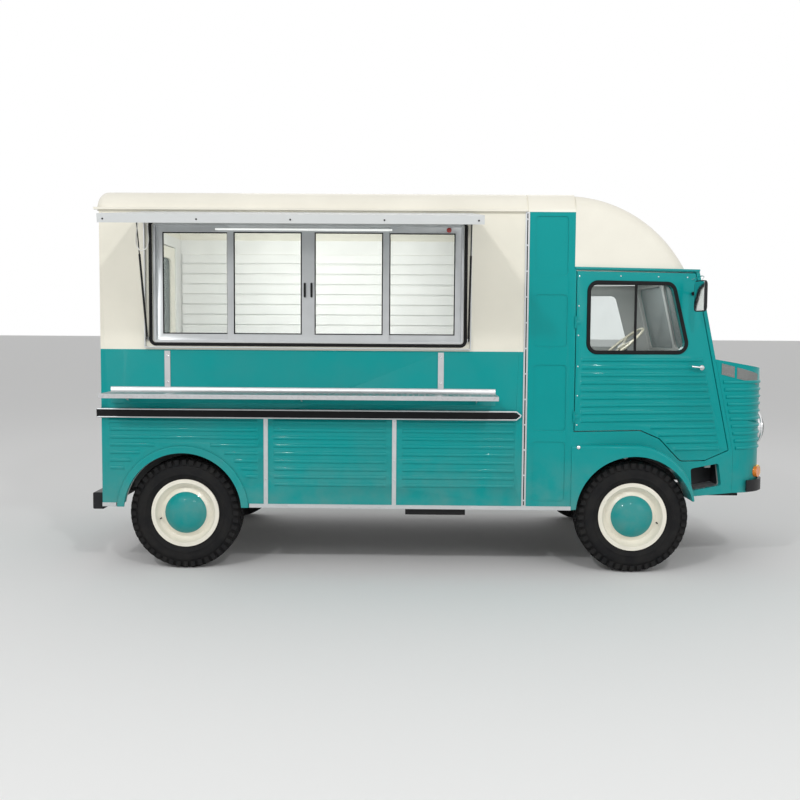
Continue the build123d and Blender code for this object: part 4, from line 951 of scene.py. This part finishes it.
def nosePath(reach):
    # point and outward direction on the nose at a distance from its start, round the corner
    turn = cabTaper
    corner = noseSet["corner"]
    centre = Vector((noseSet["front"] - corner,
                     noseSet["halfFront"] + corner * math.tan(turn) - corner / math.cos(turn), 0))
    outward = Vector((math.sin(turn), math.cos(turn), 0))
    touch = centre + outward * noseSet["corner"]
    start = Vector((noseSet["start"], halfWidth - (noseSet["start"] - pillarFront) * math.tan(turn), 0))
    straight = (touch - start).length
    if reach <= straight:
        return start.lerp(touch, reach / straight), outward
    angle = turn + (reach - straight) / noseSet["corner"]
    outward = Vector((math.sin(angle), math.cos(angle), 0))
    return centre + outward * noseSet["corner"], outward


def makeVents():
    # two mesh panels below the lip of the bonnet on each side
    for index, side in enumerate((-1, 1)):
        for panel, (low, high) in enumerate(((0.010, 0.100), (0.118, 0.300))):
            bm = bmesh.new()
            columns = []
            count = 10
            for step in range(count + 1):
                reach = low + (high - low) * step / count
                place, outward = nosePath(reach)
                base = noseSet["top"] - math.tan(math.radians(noseSet["slope"])) * reach
                column = []
                for level in (-noseSet["height"], 0.0):
                    for out in (0.0005, noseSet["sheet"]):
                        point = place + outward * out
                        column.append(bm.verts.new(at(point.x, side * point.y, base + level)))
                columns.append(column)
            for first, second in zip(columns, columns[1:]):
                for a, b in ((0, 1), (1, 3), (3, 2), (2, 0)):
                    bm.faces.new((first[a], first[b], second[b], second[a]))
            for column in (columns[0], columns[-1]):
                bm.faces.new([column[i] for i in (0, 1, 3, 2)])
            name = "vent" + ("Right", "Left")[index] + ("Rear", "Front")[panel]
            link(name, finishMesh(bm, name, "mesh", 40.0), "bonnet")
    bm = bmesh.new()
    for side in (-1, 1):
        centre = at(2.264, side * 0.640, 0.608)
        place = pointing(centre, Vector((math.cos(math.radians(38)), side * math.sin(math.radians(38)), 0)))
        addLathe(bm, ((0.033, 0.0), (0.041, 0.0), (0.041, 0.012), (0.036, 0.017), (0.033, 0.012)), place, 40)
    link("indicatorRings", finishMesh(bm, "indicatorRings", "gold", 50.0), "body")
    bm = bmesh.new()
    for side in (-1, 1):
        place = pointing(at(1.045, side * 1.002, 0.792), Vector((0, side, 0)))
        addLathe(bm, ((0.0, 0.0), (0.013, 0.0), (0.013, 0.006), (0.009, 0.010), (0.0, 0.011)), place, 24)
    link("wingFasteners", finishMesh(bm, "wingFasteners", "chrome", 50.0), "body")
    print("vents made")


mirrorSet = {"along": 0.756, "out": 0.150, "z": 1.725, "half": 0.009, "width": 0.118, "height": 0.176}


def makeMirrors():
    # glass on the face that looks back, and a chrome stay up to the door's corner
    for side, sign in (("right", -1), ("left", 1)):
        outward, run, spot = cabFrame(sign)
        bm = bmesh.new()
        frameTurn = Matrix((run, outward, Vector((0, 0, 1)))).transposed().to_4x4()
        middle = spot(mirrorSet["along"] - mirrorSet["half"] - 0.0008, mirrorSet["out"], mirrorSet["z"])
        size = Vector((0.002, mirrorSet["width"], mirrorSet["height"]))
        bmesh.ops.create_cube(bm, size=1.0, matrix=Matrix.Translation(middle) @ frameTurn
                              @ Matrix.Diagonal((*size, 1.0)))
        bmesh.ops.bevel(bm, geom=bm.edges[:], offset=0.0006, segments=2, affect="EDGES")
        mesh = finishMesh(bm, "mirrorGlass", "chrome")
        link("mirrorGlass" + side.title(), mesh, "cab_door_" + side)
        bm = bmesh.new()
        addTube(bm, [spot(0.756, 0.150, 1.812), spot(0.785, 0.135, 1.845), spot(0.800, 0.080, 1.852),
                     spot(0.790, 0.025, 1.842), spot(0.775, -0.004, 1.832)], 0.003, 8)
        mesh = finishMesh(bm, "mirrorStay", "chrome", 60.0)
        link("mirrorStay" + side.title(), mesh, "cab_door_" + side)
    print("mirrors made")


insertSet = {"x": 0.712, "half": 0.0032, "low": 0.430, "high": 2.215}


def makeStripInserts():
    # dark insert down the middle of the upright strip behind the pillar panel
    bm = bmesh.new()
    for side in (-1, 1):
        low = at(insertSet["x"] - insertSet["half"], side * 1.0052 - 0.0008, insertSet["low"])
        high = at(insertSet["x"] + insertSet["half"], side * 1.0052 + 0.0008, insertSet["high"])
        addBox(bm, low, high)
    link("stripInserts", finishMesh(bm, "stripInserts", "rubber"), "body")
    print("strip inserts made")


def makeFlapFittings():
    out = hatchSet["reach"] + 0.0005
    points = [onFlap(x, out, -0.028) for x in spaced(hatchSet["rear"] + 0.03, hatchSet["front"] - 0.03,
                                                     hatchSet["rivets"])]
    dots("flapRivets", points, [flapOut()] * len(points), rivetForm, "chassis", "serving_flap", 0.8)
    points = [onFlap(x, y, 0.0) for x in spaced(hatchSet["rear"] + 0.02, hatchSet["front"] - 0.02, 15)
              for y in (0.03, 0.80)]
    dots("flapTopRivets", points, [flapUp()] * len(points), rivetForm, "lip", "serving_flap")
    bm = bmesh.new()
    addBox(bm, at(hatchSet["stripRear"], -1.0025, 2.106), at(hatchSet["stripFront"], -0.986, 2.117))
    bmesh.ops.bevel(bm, geom=bm.edges[:], offset=0.002, segments=2, affect="EDGES")
    link("lampStrip", finishMesh(bm, "lampStrip", "strip"), "body")
    bm = bmesh.new()
    addLathe(bm, ((0.0, 0.0), (0.008, 0.0), (0.008, 0.004), (0.014, 0.006), (0.015, 0.012), (0.010, 0.0155),
                  (0.0, 0.016)), pointing(at(hatchSet["knob"], -0.987, 2.112), Vector((0, -1, 0))), 24)
    link("flapKnob", finishMesh(bm, "flapKnob", "red", 50.0), "body")
    print("flap fittings made")


slatSet = {"pitch": 0.082, "low": 0.56, "high": 2.15, "face": 0.95, "boxTop": 0.80}


def makeLining():
    # white slats on the far wall, seen through the panes
    bm = bmesh.new()
    rows = int((slatSet["high"] - slatSet["low"]) / slatSet["pitch"])
    for row in range(rows):
        z = slatSet["low"] + row * slatSet["pitch"]
        x0 = -1.0 if z < slatSet["boxTop"] else -1.85
        addBox(bm, at(x0, slatSet["face"] - 0.004, z + 0.005), at(0.68, 0.9605, z + slatSet["pitch"] - 0.005))
    bmesh.ops.bevel(bm, geom=bm.edges[:], offset=0.003, segments=1, affect="EDGES")
    link("farSlats", finishMesh(bm, "farSlats", "inside"), "body")
    print("lining made")


windowSet = {"rear": -1.577, "front": 0.331}


def makeWindowTrim():
    # black glazing rubber round each pane and the catches of the sliding sashes
    sash = (windowSet["front"] - windowSet["rear"]) / 4
    bm = bmesh.new()
    low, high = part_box("serving_panes")
    for index in range(4):
        outer = index in (1, 2)
        x0 = windowSet["rear"] + index * sash
        x1 = x0 + sash
        x0 += {0: 0.014, 2: 0.0}.get(index, -0.020) + 0.040
        x1 += {1: 0.0, 3: -0.014}.get(index, 0.020) - 0.040
        y = -1.0 + 0.012 + (0.006 if outer else 0.032) - 0.0015
        z0 = low.z
        z1 = high.z
        seal = 0.006
        bars = ((x0, x1, z0, z0 + seal), (x0, x1, z1 - seal, z1), (x0, x0 + seal, z0, z1),
                (x1 - seal, x1, z0, z1))
        for box in bars:
            addBox(bm, at(box[0], y, box[2]), at(box[1], y + 0.010, box[3]))
    link("paneRubber", finishMesh(bm, "paneRubber", "rubber"), "body")
    bm = bmesh.new()
    for x in (-0.643, -0.602):
        addBox(bm, at(x - 0.006, -1.0 - 0.002, 1.70), at(x + 0.006, -0.984, 1.79))
    bmesh.ops.bevel(bm, geom=bm.edges[:], offset=0.003, segments=2, affect="EDGES")
    link("sashPulls", finishMesh(bm, "sashPulls", "black"), "body")
    print("window trim made")


# tread pattern of the shelf and the steps

treadSet = {"pitch": 0.034, "length": 0.026, "width": 0.0070, "height": 0.0018}


def makeTreadForm():
    bm = bmesh.new()
    half = treadSet["length"] / 2
    side = treadSet["width"] / 2
    top = treadSet["height"]
    ring = [bm.verts.new(place) for place in ((-half, 0, 0), (0, -side, 0), (half, 0, 0), (0, side, 0))]
    upper = ((-half * 0.6, 0, top), (0, -side * 0.5, top), (half * 0.6, 0, top), (0, side * 0.5, top))
    crown = [bm.verts.new(place) for place in upper]
    bm.faces.new(crown)
    for index in range(4):
        after = (index + 1) % 4
        bm.faces.new((ring[index], ring[after], crown[after], crown[index]))
    bm.faces.new(list(reversed(ring)))
    mesh = bpy.data.meshes.new("treadForm")
    bm.to_mesh(mesh)
    bm.free()
    forms = []
    for turn in (45, -45):
        turned = mesh.copy()
        turned.transform(Matrix.Rotation(math.radians(turn), 4, "Z"))
        forms.append(bpy.data.objects.new("treadForm", turned))
    return forms


treadForms = makeTreadForm()


def makeTread(name, corner, alongEdge, acrossEdge, normal, body):
    # lozenges in two directions over a rectangle, by the same tree as the screws
    columns = max(1, int(alongEdge.length / treadSet["pitch"]))
    rows = max(1, int(acrossEdge.length / treadSet["pitch"] * 1.6))
    for index, form in enumerate(treadForms):
        points = []
        for column in range(columns):
            for row in range(rows):
                if (column + row) % 2 == index:
                    points.append(corner + alongEdge * ((column + 0.5) / columns)
                                  + acrossEdge * ((row + 0.5) / rows))
        dots(name + ("A", "B")[index], points, [normal] * len(points), form, "plate", body)


shelfSet = {"rear": -1.838, "length": 2.368, "top": 1.116, "depth": 0.250, "lip": 0.026}


def makeShelfTread():
    corner = at(shelfSet["rear"] + 0.01, -1.0 - shelfSet["depth"] + 0.008, shelfSet["top"] - 0.0002)
    makeTread("shelfTread", corner, Vector((shelfSet["length"] - 0.02, 0, 0)),
              Vector((0, shelfSet["depth"] - 0.02, 0)), Vector((0, 0, 1)), "body")
    corner = at(shelfSet["rear"] + 0.01, -1.0 - shelfSet["depth"] + 0.0002,
                shelfSet["top"] - shelfSet["lip"] + 0.002)
    makeTread("shelfLipTread", corner, Vector((shelfSet["length"] - 0.02, 0, 0)),
              Vector((0, 0, shelfSet["lip"] - 0.004)), Vector((0, -1, 0)), "body")
    points = [at(x, -1.006, z) for x in (-1.487, 0.194) for z in (1.18, 1.34)]
    dots("strapScrews", points, [Vector((0, -1, 0))] * len(points), screwForm, "chrome", "body")
    print("shelf tread made")


# screws along the strips, the door and the sill

def makeScrews():
    facing = Vector((0, -1, 0))
    points = []
    for x in (-0.883, -0.089, 0.712):
        top = 0.94 if x < 0.5 else 2.18
        points += [at(x, -1.0052, z) for z in spaced(0.46, top, 5 if x < 0.5 else 12)]
    points += [at(x, -1.0052, 0.412) for x in spaced(-0.93, 0.96, 11) + [-1.86]]
    mirrored = [Vector((point.x, 2 * originY - point.y, point.z)) for point in points]
    facings = [facing] * len(points) + [-facing] * len(points)
    dots("stripScrews", points + mirrored, facings, screwForm, "upright", "body", 0.75)
    outward, _, spot = cabFrame(-1)
    spots = [spot(0.030, 0.0005, z) for z in (0.93, 1.11, 1.29, 1.48, 1.66, 1.84)]
    spots += [spot(along, 0.0005, 1.846) for along in (0.30, 0.55, 0.745)]
    dots("doorScrewsRight", spots, [outward] * len(spots), screwForm, "chrome", "cab_door_right",
         0.7)
    flipped = [Vector((place.x, 2 * originY - place.y, place.z)) for place in spots]
    other = Vector((outward.x, -outward.y, 0))
    dots("doorScrewsLeft", flipped, [other] * len(flipped), screwForm, "chrome", "cab_door_left",
         0.7)
    print("screws made")


# cab front: screen rubber, wipers and lamp glasses

cabSet = {"rake": 12.7, "gutter": 1.896, "screenTop": 1.809, "scuttle": 1.335}


def screenPoint(y, z, proud=0.0):
    rake = math.radians(cabSet["rake"])
    x = cabSet["screenTop"] + (cabSet["gutter"] - z) * math.tan(rake)
    return at(x, y, z) + Vector((math.cos(rake), 0, math.sin(rake))) * proud


def roundedLoop(corners, radius, steps=6):
    # closed outline with arcs at its corners, as points in order
    found = []
    count = len(corners)
    for index, corner in enumerate(corners):
        before = (corners[index - 1] - corner).normalized()
        after = (corners[(index + 1) % count] - corner).normalized()
        half = before.angle(after) / 2
        reach = radius / math.tan(half)
        first = corner + before * reach
        last = corner + after * reach
        centre = corner + (before + after).normalized() * (radius / math.sin(half))
        for step in range(steps + 1):
            share = step / steps
            point = first.lerp(last, share) - centre
            found.append(centre + point.normalized() * radius)
    return found


def addLoopTube(bm, loop, radius, sides=8):
    rings = []
    count = len(loop)
    middle = sum(loop, Vector()) / count
    normal = Vector()
    for index in range(count):
        normal += (loop[index] - middle).cross(loop[(index + 1) % count] - middle)
    normal.normalize()
    for index, point in enumerate(loop):
        along = (loop[(index + 1) % count] - loop[index - 1]).normalized()
        side = along.cross(normal).normalized()
        rings.append([bm.verts.new(point + (side * math.cos(math.tau * step / sides)
                                            + normal * math.sin(math.tau * step / sides)) * radius)
                      for step in range(sides)])
    for index in range(count):
        first = rings[index]
        second = rings[(index + 1) % count]
        for step in range(sides):
            after = (step + 1) % sides
            bm.faces.new((first[step], first[after], second[after], second[step]))


def makeScreenTrim():
    bm = bmesh.new()
    low = cabSet["scuttle"] + 0.055
    high = cabSet["gutter"] - 0.062
    taper = math.tan(cabTaper)
    for side in (-1, 1):
        corners = []
        for y, z in ((0.026, low), (None, low), (None, high), (0.026, high)):
            if y is None:
                x = cabSet["screenTop"] + (cabSet["gutter"] - z) * math.tan(math.radians(cabSet["rake"]))
                y = halfWidth - (x - pillarFront) * taper - 0.090
            corners.append(screenPoint(side * y, z, 0.001))
        addLoopTube(bm, roundedLoop(corners, 0.045), 0.009)
    link("screenRubber", finishMesh(bm, "screenRubber", "rubber", 60.0), "body")
    bm = bmesh.new()
    for side in (-1, 1):
        foot = screenPoint(side * 0.16, cabSet["scuttle"] + 0.012, 0.012)
        tip = screenPoint(side * 0.50, cabSet["scuttle"] + 0.20, 0.018)
        addTube(bm, [foot, foot.lerp(tip, 0.5), tip], 0.005, 8)
        blade = (tip - foot).normalized()
        across = Vector((0, -blade.z * side, abs(blade.y))) * 0.19
        addTube(bm, [tip - across, tip, tip + across], 0.006, 8)
        addLathe(bm, ((0.0, -0.012), (0.016, -0.012), (0.016, 0.006), (0.010, 0.014), (0.0, 0.014)),
                 pointing(foot, Vector((1, 0, 0.2))), 20)
    link("wipers", finishMesh(bm, "wipers", "black", 50.0), "body")
    print("screen trim made")


lampSet = {"x": 2.294, "spread": 0.970, "z": 0.880, "radius": 0.095}


def makeLamps():
    for index, side in enumerate((-1, 1)):
        centre = at(lampSet["x"] + 0.022, side * lampSet["spread"] / 2, lampSet["z"])
        place = pointing(centre, Vector((1, 0, 0)))
        bm = bmesh.new()
        r = lampSet["radius"] - 0.004
        dome = [(r * math.cos(math.radians(turn)), 0.004 + 0.026 * math.sin(math.radians(turn)))
                for turn in range(0, 91, 9)]
        dome[-1] = (0.0, dome[-1][1])
        addLathe(bm, dome, place, 48)
        name = ("Right", "Left")[index]
        link("headlampLens" + name, finishMesh(bm, "headlampLens", "lens", 60.0), "body")
        bm = bmesh.new()
        addLathe(bm, ((r + 0.001, 0.006), (r * 0.92, 0.0065), (r * 0.7, 0.0062), (0.0, 0.0060)), place, 48)
        addLathe(bm, ((0.0, 0.0085), (0.014, 0.0105), (0.020, 0.0065)), place, 24)
        link("headlampBowl" + name, finishMesh(bm, "headlampBowl", "chrome", 60.0), "body")
    print("lamps made")


def makeTailFittings():
    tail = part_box("tail_door_right")[0].x
    bm = bmesh.new()
    y = originY - 0.05
    addBox(bm, Vector((tail - 0.010, y - 0.035, 0.93)), Vector((tail + 0.006, y + 0.035, 0.975)))
    addTube(bm, [Vector((tail - 0.030, y, 0.955)), Vector((tail - 0.034, y - 0.05, 0.953)),
                 Vector((tail - 0.034, y - 0.11, 0.949))], 0.007, 10)
    addTube(bm, [Vector((tail - 0.006, y, 0.955)), Vector((tail - 0.032, y, 0.955))], 0.009, 12)
    link("tailHandle", finishMesh(bm, "tailHandle", "chrome", 50.0), "tail_door_right")
    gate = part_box("rear_gate")[0].x + 0.017
    bm = bmesh.new()
    y = originY
    addTube(bm, [Vector((gate - 0.002, y - 0.08, 1.40)), Vector((gate - 0.034, y - 0.08, 1.40)),
                 Vector((gate - 0.034, y + 0.08, 1.40)), Vector((gate - 0.002, y + 0.08, 1.40))], 0.006, 10)
    link("gateHandle", finishMesh(bm, "gateHandle", "chrome", 50.0), "rear_gate")
    glassLow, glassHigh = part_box("rear_gate_glass")
    bm = bmesh.new()
    outline = ((glassLow.y, glassLow.z), (glassHigh.y, glassLow.z), (glassHigh.y, glassHigh.z),
               (glassLow.y, glassHigh.z))
    corners = [Vector((gate - 0.001, y, z)) for y, z in outline]
    addLoopTube(bm, roundedLoop(corners, 0.060), 0.009)
    link("gateRubber", finishMesh(bm, "gateRubber", "rubber", 60.0), "rear_gate")
    print("tail fittings made")


# seats: padded cushions and backs over the plain pads

seatSet = {"channels": 4}


def makeSeats():
    source = nodes["seats"].data.copy()
    bm = bmesh.new()
    bm.from_mesh(source)
    bmesh.ops.remove_doubles(bm, verts=bm.verts, dist=0.0001)
    groups = [islandBox(island) for island in islands(bm)]
    bm.free()
    for index, (low, high) in enumerate(groups):
        size = high - low
        middle = (high + low) / 2
        lying = size.z < size.x
        bm = bmesh.new()
        bmesh.ops.create_cube(bm, size=1.0)
        bmesh.ops.subdivide_edges(bm, edges=bm.edges[:], cuts=15, use_grid_fill=True)
        for vertex in bm.verts:
            p = vertex.co * 2
            q = Vector((abs(p.x) ** 4.0, abs(p.y) ** 4.0, abs(p.z) ** 4.0))
            length = (q.x + q.y + q.z) ** 0.25
            p = p / max(length, 0.001) * 0.985
            seam = 0.5 - 0.5 * math.cos(p.y * math.pi * seatSet["channels"])
            puff = 1.0 - 0.10 * (1 - seam) ** 3
            if lying and p.z > 0.3:
                p.z *= puff
            if not lying and p.x > 0.3:
                p.x *= puff
            vertex.co = middle + Vector((p.x * size.x, p.y * size.y, p.z * size.z)) / 2
        name = ("cushion" if lying else "backPad") + str(index)
        piece = link(name, finishMesh(bm, name, "vinyl", 60.0), "body",
                     ("seats",) if index == 0 else ())
        modifier = piece.modifiers.new("smooth", "SUBSURF")
        modifier.levels = 1
        modifier.render_levels = 1
    print("seats made", len(groups))


makeFlapFittings()
makeLining()
makeWindowTrim()
makeShelfTread()
makeScrews()
makeScreenTrim()
makeLamps()
makeTailFittings()
makeSeats()
makeStripEdges()
makeSteps()
makeVents()
makeMirrors()
makeStripInserts()


# studio

studioSet = {
    "floor": (0.84, 0.84, 0.835),
    "skyLight": 0.52,
    "key": 200.0,
    "fill": 165.0,
    "tube": 135.0,
    "inside": 42.0,
    "cab": 5.0,
}


def makeStudio():
    mesh = bpy.data.meshes.new("floor")
    reach = 300.0
    corners = [(-reach, -reach, 0), (reach, -reach, 0), (reach, reach, 0), (-reach, reach, 0)]
    mesh.from_pydata(corners, [], [(0, 1, 2, 3)])
    look = Finish("floorWhite")
    shade = look.noise(0.6, 2.0) * 0.02
    tint = look.mix(shade, colour(*studioSet["floor"]), colour(0.80, 0.80, 0.80))
    look.finish(Base_Color=tint, Roughness=0.75)
    mesh.materials.append(look.material)
    floor = bpy.data.objects.new("studioFloor", mesh)
    bpy.context.scene.collection.objects.link(floor)
    world = bpy.data.worlds.new("studio")
    bpy.context.scene.world = world
    world.use_nodes = True
    tree = world.node_tree
    tree.nodes.clear()
    out = tree.nodes.new("ShaderNodeOutputWorld")
    path = tree.nodes.new("ShaderNodeLightPath")
    seen = path.outputs["Is Camera Ray"]
    for kind in ("Is Glossy Ray", "Is Transmission Ray"):
        either = tree.nodes.new("ShaderNodeMath")
        either.operation = "MAXIMUM"
        tree.links.new(seen, either.inputs[0])
        tree.links.new(path.outputs[kind], either.inputs[1])
        seen = either.outputs[0]
    mixed = tree.nodes.new("ShaderNodeMixShader")
    tree.links.new(seen, mixed.inputs[0])
    for index, strength in ((1, studioSet["skyLight"]), (2, 1.0)):
        sky = tree.nodes.new("ShaderNodeBackground")
        sky.inputs["Color"].default_value = (1.0, 1.0, 1.0, 1.0)
        sky.inputs["Strength"].default_value = strength
        tree.links.new(sky.outputs[0], mixed.inputs[index])
    tree.links.new(mixed.outputs[0], out.inputs[0])
    # name, place, aim, size, watts
    lamps = (
        ("keyLight", (-6.5, -10.0, 8.5), (0.0, -0.5, 1.0), 6.0, studioSet["key"]),
        ("fillLight", (8.5, -9.5, 5.0), (0.5, -0.5, 1.0), 5.0, studioSet["fill"]),
        ("tubeLight1", (-3.2, -8.0, 6.2), (-0.8, -0.8, 0.9), 0.45, studioSet["tube"]),
        ("tubeLight2", (2.2, -8.0, 6.2), (1.0, -0.8, 0.9), 0.45, studioSet["tube"]),
        ("backLight", (0.0, 6.0, 6.5), (0.0, 0.0, 1.2), 5.0, studioSet["fill"] * 0.3),
        ("insideLight", (-0.62, -0.30, 2.10), (-0.62, 0.90, 1.55), 1.7, studioSet["inside"]),
        ("cabLight", (1.40, 0.0, 1.86), (1.40, 0.0, 1.0), 0.5, studioSet["cab"]),
    )
    for name, place, aim, size, watts in lamps:
        data = bpy.data.lights.new(name, "AREA")
        data.energy = watts
        data.size = size
        lamp = bpy.data.objects.new(name, data)
        bpy.context.scene.collection.objects.link(lamp)
        lamp.location = at(*place)
        lamp.rotation_euler = (at(*aim) - at(*place)).to_track_quat("-Z", "Y").to_euler()
    bpy.context.scene.view_settings.view_transform = "Standard"


makeStudio()
print("studio made")
